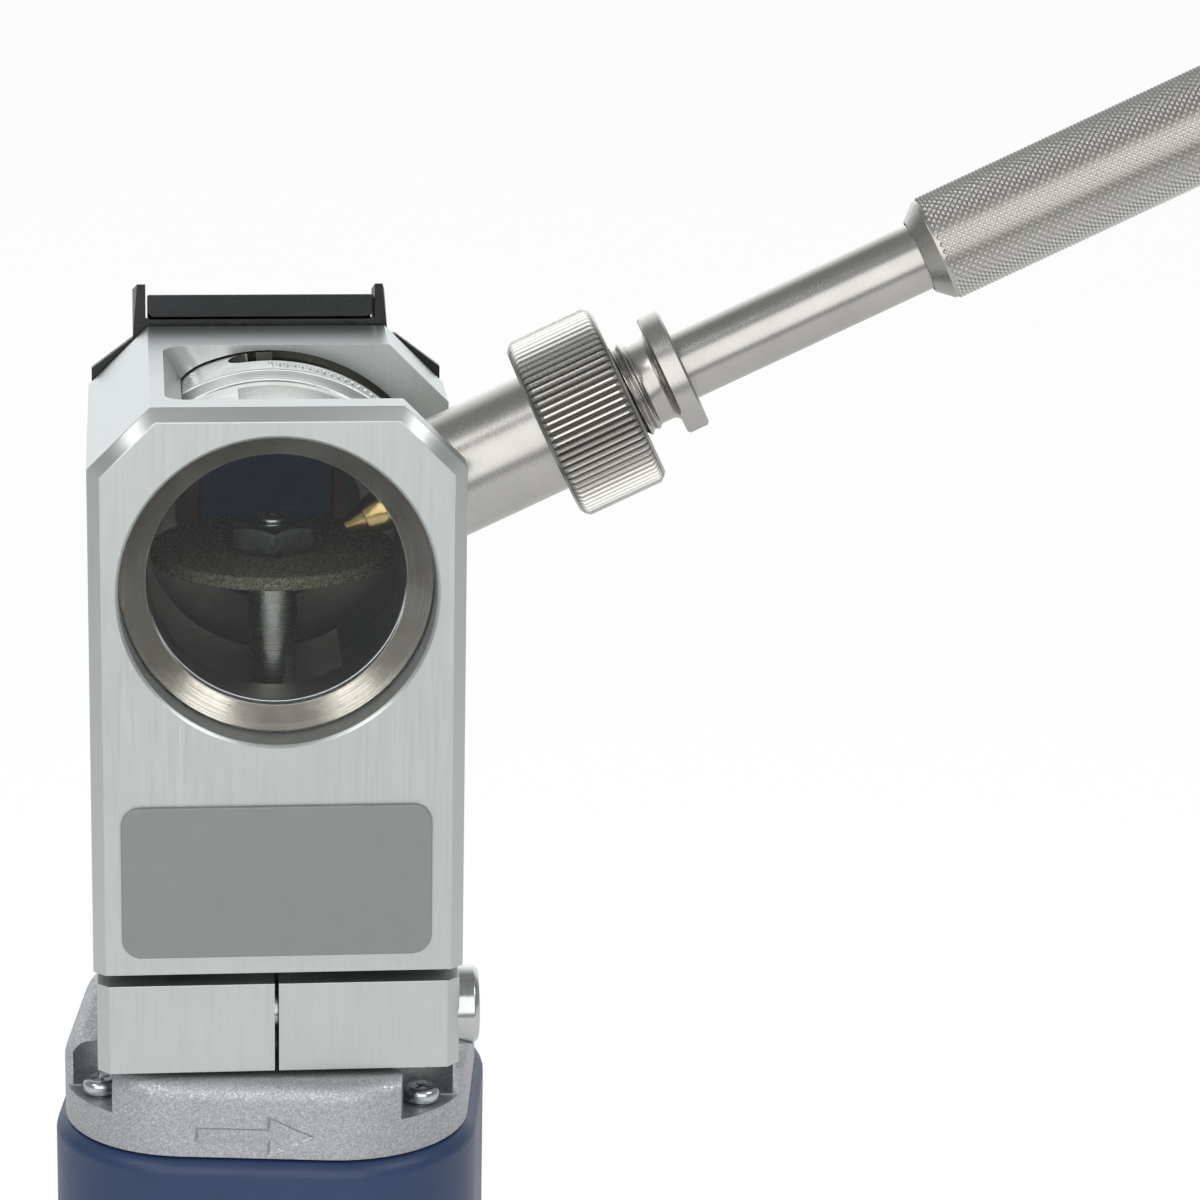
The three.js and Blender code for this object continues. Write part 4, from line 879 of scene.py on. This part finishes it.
# %% A tree that repeats a tooth round an axis
def knurl_tree():
    tree = bpy.data.node_groups.new("knurl", "GeometryNodeTree")
    sockets = {}
    for name, kind in (
        ("Core", "Geometry"), ("Tooth", "Object"), ("Material", "Material"), ("Count", "Int"),
        ("Rows", "Int"), ("Radius", "Float"), ("Start", "Float"), ("Pitch", "Float"),
    ):
        made = tree.interface.new_socket(name, in_out="INPUT", socket_type="NodeSocket" + kind)
        sockets[name] = made.identifier
    tree.interface.new_socket("Geometry", in_out="OUTPUT", socket_type="NodeSocketGeometry")
    given = tree.nodes.new("NodeGroupInput").outputs
    values = {name: given[name] for name in ("Count", "Rows", "Radius", "Start", "Pitch")}
    values["index"] = add(tree, "GeometryNodeInputIndex").outputs[0]
    for name, operation, one, other in (
        ("total", "MULTIPLY", "Count", "Rows"),
        ("rounds", "DIVIDE", "index", "Count"),
        ("row", "FLOOR", "rounds", 0.0),
        ("odd", "MODULO", "row", 2.0),
        ("half", "MULTIPLY", "odd", 0.5),
        ("place", "MODULO", "index", "Count"),
        ("step", "ADD", "place", "half"),
        ("swept", "MULTIPLY", "step", 2 * pi),
        ("angle", "DIVIDE", "swept", "Count"),
        ("cosine", "COSINE", "angle", 0.0),
        ("sine", "SINE", "angle", 0.0),
        ("X", "MULTIPLY", "cosine", "Radius"),
        ("Y", "MULTIPLY", "sine", "Radius"),
        ("climb", "MULTIPLY", "row", "Pitch"),
        ("Z", "ADD", "Start", "climb"),
    ):
        pair = {0: values.get(one, one), 1: values.get(other, other)}
        values[name] = add(tree, "ShaderNodeMath", pair, operation=operation).outputs[0]
    line = add(tree, "GeometryNodeMeshLine", {"Count": values["total"]}).outputs[0]
    where = {name: values[name] for name in "XYZ"}
    place = add(tree, "ShaderNodeCombineXYZ", where).outputs[0]
    points = add(tree, "GeometryNodeSetPosition", {"Geometry": line, "Position": place}).outputs[0]
    euler = add(tree, "ShaderNodeCombineXYZ", {"Z": values["angle"]}).outputs[0]
    facing = add(tree, "FunctionNodeEulerToRotation", {0: euler}).outputs[0]
    tooth = add(tree, "GeometryNodeObjectInfo", {"Object": given["Tooth"]}).outputs["Geometry"]
    settings = {"Points": points, "Instance": tooth, "Rotation": facing}
    copies = add(tree, "GeometryNodeInstanceOnPoints", settings).outputs[0]
    teeth = add(tree, "GeometryNodeRealizeInstances", {"Geometry": copies}).outputs[0]
    whole = add(tree, "GeometryNodeJoinGeometry", {0: given["Core"]})
    tree.links.new(teeth, whole.inputs[0])
    settings = {"Geometry": whole.outputs[0], "Material": given["Material"]}
    dressed = add(tree, "GeometryNodeSetMaterial", settings)
    add(tree, "NodeGroupOutput", {0: dressed.outputs[0]})
    return tree, sockets


KNURL, SOCKETS = knurl_tree()
print("knurl tree:", len(KNURL.nodes), "nodes")


def knurl(core, tooth, **values):
    """Puts copies of a tooth round a core, as one plain mesh."""
    made = as_object("tooth", tooth)
    step = core.modifiers.new("knurl", "NODES")
    step.node_group = KNURL
    for name, value in {"Tooth": made, **values}.items():
        step[SOCKETS[name]] = value
    settle(core)
    bpy.data.meshes.remove(made.data)
    return core


# %% Clamp nut and handle
NUT, GRIP = 14.7, 8.52
nut_profile = [
    (10.3, 48.5), (14.2, 48.5), (NUT, 49.0), (NUT, 63.2), (14.2, 63.7),
    (8.3, 63.7), (8.3, 60.3), (10.3, 60.3),
]
nut = as_object("clamp_nut_fine", revolve(nut_profile, 160, 0.15))


def ridge(width, crest, height, length, run_out):
    """One tooth of a straight knurl: a bar along Z with a blunt crest, its foot sunk 0.1 mm."""
    rings = []
    for z, top, out in (
        (0, width, 0.0), (run_out, crest, height),
        (length - run_out, crest, height), (length, width, 0.0),
    ):
        rings.append([(-0.1, -width / 2, z), (out, -top / 2, z), (out, top / 2, z), (-0.1, width / 2, z)])
    return loft(rings)


def pyramid(wide, long, height, top):
    """One tooth of a diamond knurl: a four-sided pyramid along X, its top a share of its foot."""
    foot = [(-0.12, wide / 2, 0), (-0.12, 0, long / 2), (-0.12, -wide / 2, 0), (-0.12, 0, -long / 2)]
    return loft([foot, [(height, y * top, z * top) for x, y, z in foot]])


# Round both grips the teeth stand about 1.2 mm apart.
straight = {"Count": 80, "Rows": 1, "Radius": NUT, "Start": 48.9, "Pitch": 1.0}
knurl(nut, ridge(1.17, 0.30, 0.77, 14.4, 0.9), Material=nut_steel, **straight)
nut.data.transform(ALONG_TUBE)
deliver(nut, "clamp_nut_body", nut_steel, "knurled_steel", "clamp_nut", sharp=25)
# The two plain ends of the nut are turned, not knurled.
repaint(nut, tube_steel, ALONG_TUBE, lambda p: not 49.3 < p.z < 62.9)

grip_profile = [(5.9, 115.7), (6.2, 115.7), (GRIP, 118.3), (GRIP, 200.0), (5.9, 200.0)]
grip = as_object("handle_grip_fine", revolve(grip_profile, 128, 0.1))
crossed = {"Count": 44, "Rows": 129, "Radius": GRIP, "Start": 119.2, "Pitch": 0.625}
knurl(grip, pyramid(1.30, 1.24, 0.37, 0.16), Material=handle_steel, **crossed)
grip.data.transform(ALONG_TUBE)
deliver(grip, "holder", handle_steel, "knurled_steel", "handle_grip", sharp=25)

turned(
    "handle_cap", "holder", tube_steel, "knurled_steel", ALONG_TUBE, 128, 0.3,
    [(0, 192.0), (5.6, 192.0), (5.6, 200.3), (8.9, 200.3), (8.9, 203.8), (7.4, 205.3), (0, 205.3)],
)

# %% [markdown]
# ## The disc and its spindle
#
# The diamond disc is a thin steel plate with the grit plated onto it. It sits on a turned
# mandrel under a hexagon nut, and the mandrel is held by a collet, like a milling cutter.
# A hexagon nut is where a hexagon prism and a chamfered cylinder overlap, so it is made
# with an intersecting Boolean, the way a turned blank is milled to six flats.

# %% Disc, nut, mandrel and collet
turned(
    "grinding_disc", "spindle", diamond_grit, "diamond_grit", Matrix(), 192, 0.15,
    [
        (3.0, 317.8), (19.7, 317.8), (20.0, 318.1), (20.0, 319.8), (19.7, 320.1),
        (8.8, 320.1), (8.4, 319.7), (3.0, 319.7),
    ],
)
disc_nut = as_object("disc_nut_fine", prism(hexagon(13.0, -90), 320.0, 324.4))
blank = [
    (3.0, 320.0), (6.7, 320.0), (7.5, 320.5), (7.5, 323.7), (6.3, 324.4), (3.6, 324.4), (3.0, 323.9),
]
combine(disc_nut, [revolve(blank, 128)], "INTERSECT")
soften(disc_nut, 0.12)
deliver(disc_nut, "spindle", zinc_steel, "zinc_steel", "disc_nut")

turned(
    "disc_mandrel", "spindle", upright_steel, "turned_steel", Matrix(), 128, 0.1,
    [
        (0, 264.8), (4.0, 264.8), (4.0, 317.5), (2.7, 317.5), (2.7, 324.9), (2.4, 325.2),
        (1.1, 325.2), (0.1, 323.8), (0, 323.8),
    ],
)
turned(
    "collet_nut", "spindle", upright_steel, "turned_steel", Matrix(), 96, 0.3,
    [
        (8.5, 258.7), (12.0, 258.7), (12.0, 274.2), (10.0, 276.2), (4.3, 276.2),
        (4.3, 274.6), (6.2, 274.6), (6.2, 270.0), (8.5, 270.0),
    ],
)

# %% [markdown]
# ## Screws
#
# The small screws have a domed pan head with a cross recess. A recess could be a dark
# picture on the head, but light falls into a real one from every side, so two crossed wedges
# are cut out. One function makes all ten, each turned to another angle, as screws end up
# when they are tightened. The clamp screw is a socket head cap screw with a hexagon socket,
# and the drum is locked by a grub screw.

# %% Screws
def pan_screw(name, head, height, shank, length):
    profile = [(0, -length), (shank, -length), (shank, 0), (head, 0)]
    profile += arc(height / 2, 0, 90, 10, head - height / 2, height / 2)
    screw = as_object(name, revolve(profile + [(0, height)], 64))
    # One arm of the cross is a wedge, wider at its mouth than at its floor.
    floor, mouth = (1.3, 0.18, height - 1.1), (1.7, 0.3, height + 0.1)
    arm = loft([[(-x, -y, z), (x, -y, z), (x, y, z), (-x, y, z)] for x, y, z in (floor, mouth)])
    arms = [placed(arm, turn("Z", degrees)) for degrees in (0, 90)]
    cut(screw, *arms)
    return soften(screw, 0.08)


def set_screws(kind, sizes, places):
    for i, place in enumerate(places, start=1):
        screw = pan_screw(f"{kind}_{i}_fine", *sizes)
        screw.data.transform(place @ turn("Z", 37 * i))
        deliver(screw, "housing", zinc_steel, "zinc_steel", f"{kind}_{i}")


MOTOR_CORNERS = ((1, 1), (-1, 1), (-1, -1), (1, -1))
CORNER_SCREW = (26.6, 22.0)
SCREW_SEAT = 231.3
CAP_BOSSES = [shift(17 * side, 17 * side, 0) for side in (1, -1)]


def at_corner(sx, sy, z):
    return shift(CORNER_SCREW[0] * sx, CORNER_SCREW[1] * sy, z)


corners = [IN_MOTOR @ at_corner(sx, sy, SCREW_SEAT + AIR) for sx, sy in MOTOR_CORNERS]
set_screws("flange_screw", (3.0, 2.2, 1.7, 16), corners)
set_screws("filter_holder_screw", (2.8, 1.9, 1.5, 8), BACK_SCREWS)
below = [IN_MOTOR @ boss @ shift(0, 0, 25.7) @ turn("X", 180) for boss in CAP_BOSSES]
set_screws("rear_cap_screw", (3.4, 2.6, 1.9, 28), below)

clamp_profile = [
    (0, -29.5), (3.7, -29.5), (3.7, 25.0), (6.5, 25.0), (6.5, 32.2), (5.7, 33.0), (0, 33.0),
]
clamp_screw = as_object("clamp_screw_fine", revolve(clamp_profile, 96, 0.2))
cut(clamp_screw, prism(hexagon(6.0), 29.0, 36.0))
soften(clamp_screw, 0.1)
clamp_screw.data.transform(CLAMP_SCREW)
deliver(clamp_screw, "housing", screw_steel, "zinc_steel", "clamp_screw")

# The tip stops a hair short of the tread, which curves away beside the screw's axis.
lock_tip = (TREAD**2 - 19.5**2) ** 0.5 + AIR
lock_screw = as_object("drum_lock_screw_fine", rod(2.5, lock_tip, 29.4, 64, 0.3))
cut(lock_screw, prism(hexagon(2.5), 26.9, 33.0))
lock_screw.data.transform(LOCK_SCREW)
deliver(lock_screw, "housing", zinc_steel, "zinc_steel", "drum_lock_screw")

# %% [markdown]
# ## The motor
#
# The motor is a slim hand-grinder motor stood on its foot: a round body of navy plastic that
# widens into a rounded square at the top, closed by a die-cast bearing flange. Its plan at
# each level is a square with round corners, and a loft through those plans gives the body.
# The casting has round, soft edges everywhere, because molten metal doesn't fill a sharp
# corner and a mould doesn't let go of one.

# %% Flange
GRIP_PLAN = (33.9, 30.5)
HEAD_PLAN = (35.2, 22.4)
FLANGE_PLAN = (33.7, 21.4)
FLANGE_LOW, FLANGE_TOP = 225.0, 238.1


def plan(z, sizes, pull=0.0):
    """The motor's outline at a height, drawn in by pull millimetres all round."""
    half, corner = sizes
    side = 2 * (half - pull)
    return [(x, y, z) for x, y in rounded_box(side, side, corner - pull, steps=14)]


ROUND = 3.3
flange_rings = [plan(FLANGE_LOW, FLANGE_PLAN)]
flange_rings += [plan(FLANGE_TOP - ROUND + y, FLANGE_PLAN, ROUND - x) for x, y in arc(ROUND, 0, 90, 8)]
flange = as_object("bearing_flange_fine", loft(flange_rings))


def arrow_outline(grow):
    """The arrow seen from the front, with each edge moved out by grow."""
    slope = 3.6 / 8.1
    tail, neck, half = -9.8 - grow, 2.0 - grow, 1.3 + grow
    tip = 10.1 + grow * (1 + slope**2) ** 0.5 / slope
    upper = [(tail, half), (neck, half), (neck, (tip - neck) * slope), (tip, 0)]
    return [(x, FLANGE_LOW + 3.9 + z) for x, z in upper + [(x, -z) for x, z in reversed(upper[:3])]]


def notch_cuts(sx, sy):
    """The seat of a corner screw and the hole for its shank. In front the seat is open outward."""
    at = at_corner(sx, sy, SCREW_SEAT)
    hole = placed(rod(2.0, -16, 1.0, 32), at)
    if sy > 0:
        return [placed(rod(3.4, 0, 12.1, 64), at), hole]
    way = box(sorted((-2.9 * sx, 20 * sx)), (-24.0, 2.6), (-0.2, 12.2))
    return [placed(rod(5.6, 0, 12.1, 64), at), placed(way, at), hole]


# The arrow is sunk half a millimetre, with sloping walls: its outline shrinks with the depth.
sunk = [[(x, y, z) for x, z in arrow_outline(grow)] for grow, y in ((0.4, -34.1), (-0.5, -33.2))]
cut(flange, loft(sunk))
for sx, sy in MOTOR_CORNERS:
    cut(flange, *notch_cuts(sx, sy))
flange.data.transform(IN_MOTOR)
unite(flange, rod(17.5, 235.0, 256.7, 128, 0.5))
cut(flange, rod(13.3, 222.0, 249.3, 96), rod(9.5, 240.0, 260.0, 96))
soften(flange, 0.35, 3)
deliver(flange, "housing", cast_aluminium, "cast_aluminium", "bearing_flange")

# %% [markdown]
# The housing and the foot are thin-walled mouldings. Only the outside and the cooling slots
# show, but the bores are cut as well: through the slots a viewer sees into a hollow body,
# and the motor parts inside have their room. Each row of slots is one cutting body.

# %% Housing and foot
SLOT, SLOT_STEP = 2.4, 6.0


def motor_slots(height, z, start):
    """Five upright cooling slots with round ends through each side wall, as one body."""
    made = []
    for side in (0, 180):
        for k in range(-2, 3):
            outline = rounded_box(SLOT, height, SLOT / 2 - 0.01, k * SLOT_STEP, z + height / 2)
            made.append(placed(faced(outline, (start, 40.0)), turn("Z", side - 90)))
    return joined(*made)


def smooth(t):
    return t * t * (3 - 2 * t)


HOUSING_LOW, HOUSING_TOP = 45.3, 224.7
rings = [plan(HOUSING_LOW + rise, GRIP_PLAN, pull) for rise, pull in ((0, 0.4), (1, 0.1), (2, 0))]
for i in range(13):
    share = smooth(i / 12)
    sizes = [g + (h - g) * share for g, h in zip(GRIP_PLAN, HEAD_PLAN)]
    rings.append(plan(150.3 + 40 * i / 12, sizes))
RIM = 2.7
rings += [plan(HOUSING_TOP - RIM + y, HEAD_PLAN, RIM - x) for x, y in arc(RIM, 0, 90, 8)]
housing = as_object("motor_housing_fine", loft(rings))
vents = [placed(rod(4.0, 42.0, 60.0, 48), turn("Z", 60 * i) @ shift(0, 20.5, 0)) for i in range(6)]
cut(
    housing,
    rod(28.7, 57.0, 228.0, 160),
    rod(11.3, 47.7, 60.0),
    rod(6.0, 42.0, 57.0),
    joined(*vents),
    motor_slots(15.0, 184.0, 25.7),
)
brush_ways = [turn("Z", side) @ shift(0, 0, 80.0) @ ALONG_X for side in (0, 180)]
cut(housing, *[placed(rod(7.3, 14.0, 37.0, 64), way) for way in brush_ways])
soften(housing, 0.3, 3)
housing.data.transform(IN_MOTOR)
deliver(housing, "housing", blue_plastic, "blue_housing", "motor_housing")

foot_levels = ((0, 1.5), (0.6, 0.55), (2, 0), (43, 0), (44.4, 0.12), (45, 0.4))
foot = as_object("rear_cap_fine", loft([plan(z, GRIP_PLAN, pull) for z, pull in foot_levels]))
hollow = as_object("hollow", rod(28.5, 6.0, 48.0, 160))
cut(hollow, *[placed(rod(5.6, 0, 50.0, 48), boss) for boss in CAP_BOSSES])
INLET = shift(0, 0, 17) @ ALONG_Y
cut(
    foot,
    hollow,
    *[placed(rod(2.2, -3, 48.0, 32), boss) for boss in CAP_BOSSES],
    *[placed(rod(3.7, -3, 26.0, 48), boss) for boss in CAP_BOSSES],
    motor_slots(20.0, 13.0, 25.5),
    box((-8.3, 8.3), (-37.9, -32.0), (13.7, 37.3)),
    box((-3.3, 3.3), (-34.9, -25.9), (19.7, 31.3)),
    placed(rod(7.3, 25.5, 36.9, 64), INLET),
)
soften(foot, 0.3, 3)
foot.data.transform(IN_MOTOR)
deliver(foot, "housing", blue_plastic, "blue_housing", "rear_cap")

turned(
    "cable_inlet", "housing", rubber, "rubber", IN_MOTOR @ INLET, 96, 0.4,
    [
        (4.6, 24.7), (9.0, 24.7), (9.0, 26.7), (7.0, 26.7), (7.0, 34.2), (9.0, 34.2),
        (9.0, 36.2), (7.9, 36.9), (6.0, 42.2), (4.6, 42.2),
    ],
)

# %% [markdown]
# ## Parts that keep their CAD shape
#
# Bent sheet, moulded sliders and everything inside the motor are nearly right as the CAD
# model has them. They are copied, their triangles are joined back into flat faces, and their
# edges are broken like the others. Only the black sheet round the filter is reshaped, point
# by point, because in the photo it slopes.

# %% Copies of CAD parts
# Where the sheet begins to fall back, and the inner faces of the two fins.
SHEET_FRONT, SHEET_LOW, FIN_LOW = 30.4, 353, 355
LEFT_FIN, RIGHT_FIN = -21.5, 19.6


def bend_sheet(point):
    """Lowers the sheet behind the lip towards the back and draws the fins in at their tips."""
    if point.z > SHEET_LOW and point.y > SHEET_FRONT:
        point.z -= 0.3 * (point.y - SHEET_FRONT)
    if point.z > FIN_LOW:
        point.x += 0.8 if point.x < LEFT_FIN else -0.9 if point.x > RIGHT_FIN else 0


def from_cad(node, body, material, slot, width, reshape=None, added=()):
    """A copy of a CAD part with softened edges, reshaped and added to first where that is asked."""
    obj = linked(node + "_fine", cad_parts[node].data.copy())
    obj.data.transform(Matrix.Scale(1 / MM, 4))
    work = bmesh.new()
    work.from_mesh(obj.data)
    bmesh.ops.remove_doubles(work, verts=work.verts, dist=0.002)
    bmesh.ops.dissolve_limit(work, angle_limit=radians(1), verts=work.verts, edges=work.edges)
    for vert in work.verts if reshape else ():
        reshape(vert.co)
    work.to_mesh(obj.data)
    work.free()
    soften(unite(obj, *added), width)
    deliver(obj, body, material, slot, node)


# The strip under the lip hides the brown filter frame from the front.
strip = box((-20.3, 18.4), (30.35, 31.75), (347.9, 351.0))
from_cad("filter_holder", "housing", black_paint, "black_paint", 0.25, bend_sheet, [strip])
from_cad("filter_slide", "filter", black_paint, "black_paint", 0.25, bend_sheet)
for row in (
    ("filter_frame", "filter", cardboard, "cardboard", 0.3),
    ("filter_fleece", "filter", fleece, "fleece", 0.3),
    ("switch_slider", "switch", black_plastic, "black_plastic", 0.3),
    ("switch_body", "housing", black_plastic, "black_plastic", 0.3),
    ("brush_cap_right", "housing", black_plastic, "black_plastic", 0.2),
    ("brush_cap_left", "housing", black_plastic, "black_plastic", 0.2),
    ("brush_holder_right", "housing", motor_brass, "brass", 0.1),
    ("brush_holder_left", "housing", motor_brass, "brass", 0.1),
    ("carbon_brush_right", "housing", carbon, "carbon", 0.1),
    ("carbon_brush_left", "housing", carbon, "carbon", 0.1),
    ("field_core", "housing", laminations, "laminated_steel", 0.3),
    ("rear_bearing", "housing", bearing_steel, "bearing_steel", 0.2),
    ("front_bearing", "housing", bearing_steel, "bearing_steel", 0.2),
    ("armature_shaft", "spindle", upright_steel, "bearing_steel", 0.2),
    ("armature_core", "spindle", laminations, "laminated_steel", 0.1),
    ("commutator", "spindle", copper, "copper", 0.1),
    ("cooling_fan", "spindle", black_plastic, "black_plastic", 0.2),
    ("collet", "spindle", upright_steel, "turned_steel", 0.1),
):
    from_cad(*row)

# %% [markdown]
# ## Camera, floor and light
#
# The photo was taken from a little above and to the left, from far away, so the camera is
# a long lens at the place that was worked out from the edges of the block.

# %% Camera
# Where the camera stands in millimetres, and how far it looks down, to the right and tilted.
CAMERA_PLACE = Vector((-22.22, -702.66, 516.35)) * MM
PITCH_DOWN, YAW_RIGHT, ROLL = radians(16.30), radians(6.23), radians(1.10)

ahead = Vector((sin(YAW_RIGHT) * cos(PITCH_DOWN), cos(YAW_RIGHT) * cos(PITCH_DOWN), -sin(PITCH_DOWN)))
level = Vector((cos(YAW_RIGHT), -sin(YAW_RIGHT), 0))
upright = level.cross(ahead)
right = level * cos(ROLL) + upright * sin(ROLL)
up = upright * cos(ROLL) - level * sin(ROLL)
camera = linked("camera", bpy.data.cameras.new("camera"))
camera.matrix_world = Matrix.Translation(CAMERA_PLACE) @ Matrix((right, up, -ahead)).transposed().to_4x4()
camera.data.lens = 132.5
camera.data.sensor_width = 36
camera.data.clip_start, camera.data.clip_end = 0.05, 20
bpy.context.scene.camera = camera
bpy.context.scene.view_settings.view_transform = "Standard"
print("camera at", [round(c, 3) for c in camera.location], "lens", camera.data.lens, "mm")

# %% [markdown]
# The floor is white studio paper. It glows a little, so that it looks as white as the world
# behind it, but less near the foot, where the machine still darkens it. It ends just behind
# the camera: the window mirrors what lies further that way, and it should mirror darkness.

# %% Floor
REACH, NEAR_EDGE = 4.0, -0.8
corners = [(-REACH, NEAR_EDGE, 0), (REACH, NEAR_EDGE, 0), (REACH, REACH, 0), (-REACH, REACH, 0)]
floor = as_object("floor", (corners, [(0, 1, 2, 3)]))
paper = bpy.data.materials.new("studio_paper")
tree = empty_tree(paper)
lit = add(tree, "ShaderNodeBsdfDiffuse", {"Color": linear("#f2f2f2")}).outputs[0]
glow = add(tree, "ShaderNodeEmission", {"Color": (1, 1, 1, 1), "Strength": 1.12}).outputs[0]
seen = add(tree, "ShaderNodeLightPath").outputs["Is Camera Ray"]
spot = add(tree, "ShaderNodeTexCoord").outputs["Object"]
away = add(tree, "ShaderNodeVectorMath", {0: spot}, operation="LENGTH").outputs["Value"]
rise = {"Value": away, "From Min": 0.08, "From Max": 0.40, "To Min": 0.15, "To Max": 0.45}
gain = add(tree, "ShaderNodeMapRange", rise).outputs[0]
share = add(tree, "ShaderNodeMath", {0: seen, 1: gain, 2: 0.35}, operation="MULTIPLY_ADD").outputs[0]
mixed = add(tree, "ShaderNodeMixShader", {0: share, 1: lit, 2: glow}).outputs[0]
add(tree, "ShaderNodeOutputMaterial", {"Surface": mixed})
floor.data.materials.append(paper)
print("floor:", [round(side, 1) for side in floor.dimensions], "m")

# %% [markdown]
# Polished metal has no look of its own: what it shows is the room, so the room is built for
# the metal. One very large soft lamp stands low in front, and two small ones high at the
# sides add the short bright lines. The wall behind is bright and the ceiling is dim, which
# gives the tubes their dark and light bands. For the camera alone the world is pure white.

# %% Light
def lamp(name, place, aim, width, height, power):
    data = bpy.data.lights.new(name, "AREA")
    data.shape = "RECTANGLE"
    data.size, data.size_y, data.energy = width, height, power
    obj = linked(name, data)
    obj.location = place
    obj.rotation_euler = (Vector(aim) - Vector(place)).to_track_quat("-Z", "Y").to_euler()


MIDDLE = (0.02, 0.0, 0.30)
lamp("lamp_left", (-0.74, -0.52, 1.20), MIDDLE, 0.45, 0.45, 2.5)
lamp("lamp_right", (0.76, -0.50, 1.20), MIDDLE, 0.45, 0.45, 3)
lamp("lamp_front", (-0.20, -1.25, 0.70), MIDDLE, 1.7, 1.25, 9.8)

world = bpy.data.worlds.new("studio")
bpy.context.scene.world = world
tree = empty_tree(world)
seen = add(tree, "ShaderNodeLightPath").outputs["Is Camera Ray"]
white = add(tree, "ShaderNodeBackground", {"Color": (1, 1, 1, 1), "Strength": 1.0}).outputs[0]
way = add(tree, "ShaderNodeTexCoord").outputs["Generated"]
back = add(tree, "ShaderNodeSeparateXYZ", {0: way}).outputs["Y"]
rise = {"Value": back, "From Min": 0.5, "From Max": 0.95, "To Min": 0.36, "To Max": 1.6}
wall = add(tree, "ShaderNodeMapRange", rise).outputs[0]
room = add(tree, "ShaderNodeBackground", {"Color": linear("#f4f6f8"), "Strength": wall}).outputs[0]
mixed = add(tree, "ShaderNodeMixShader", {0: seen, 1: room, 2: white}).outputs[0]
add(tree, "ShaderNodeOutputWorld", {"Surface": mixed})
print("lamps:", len(bpy.data.lights))
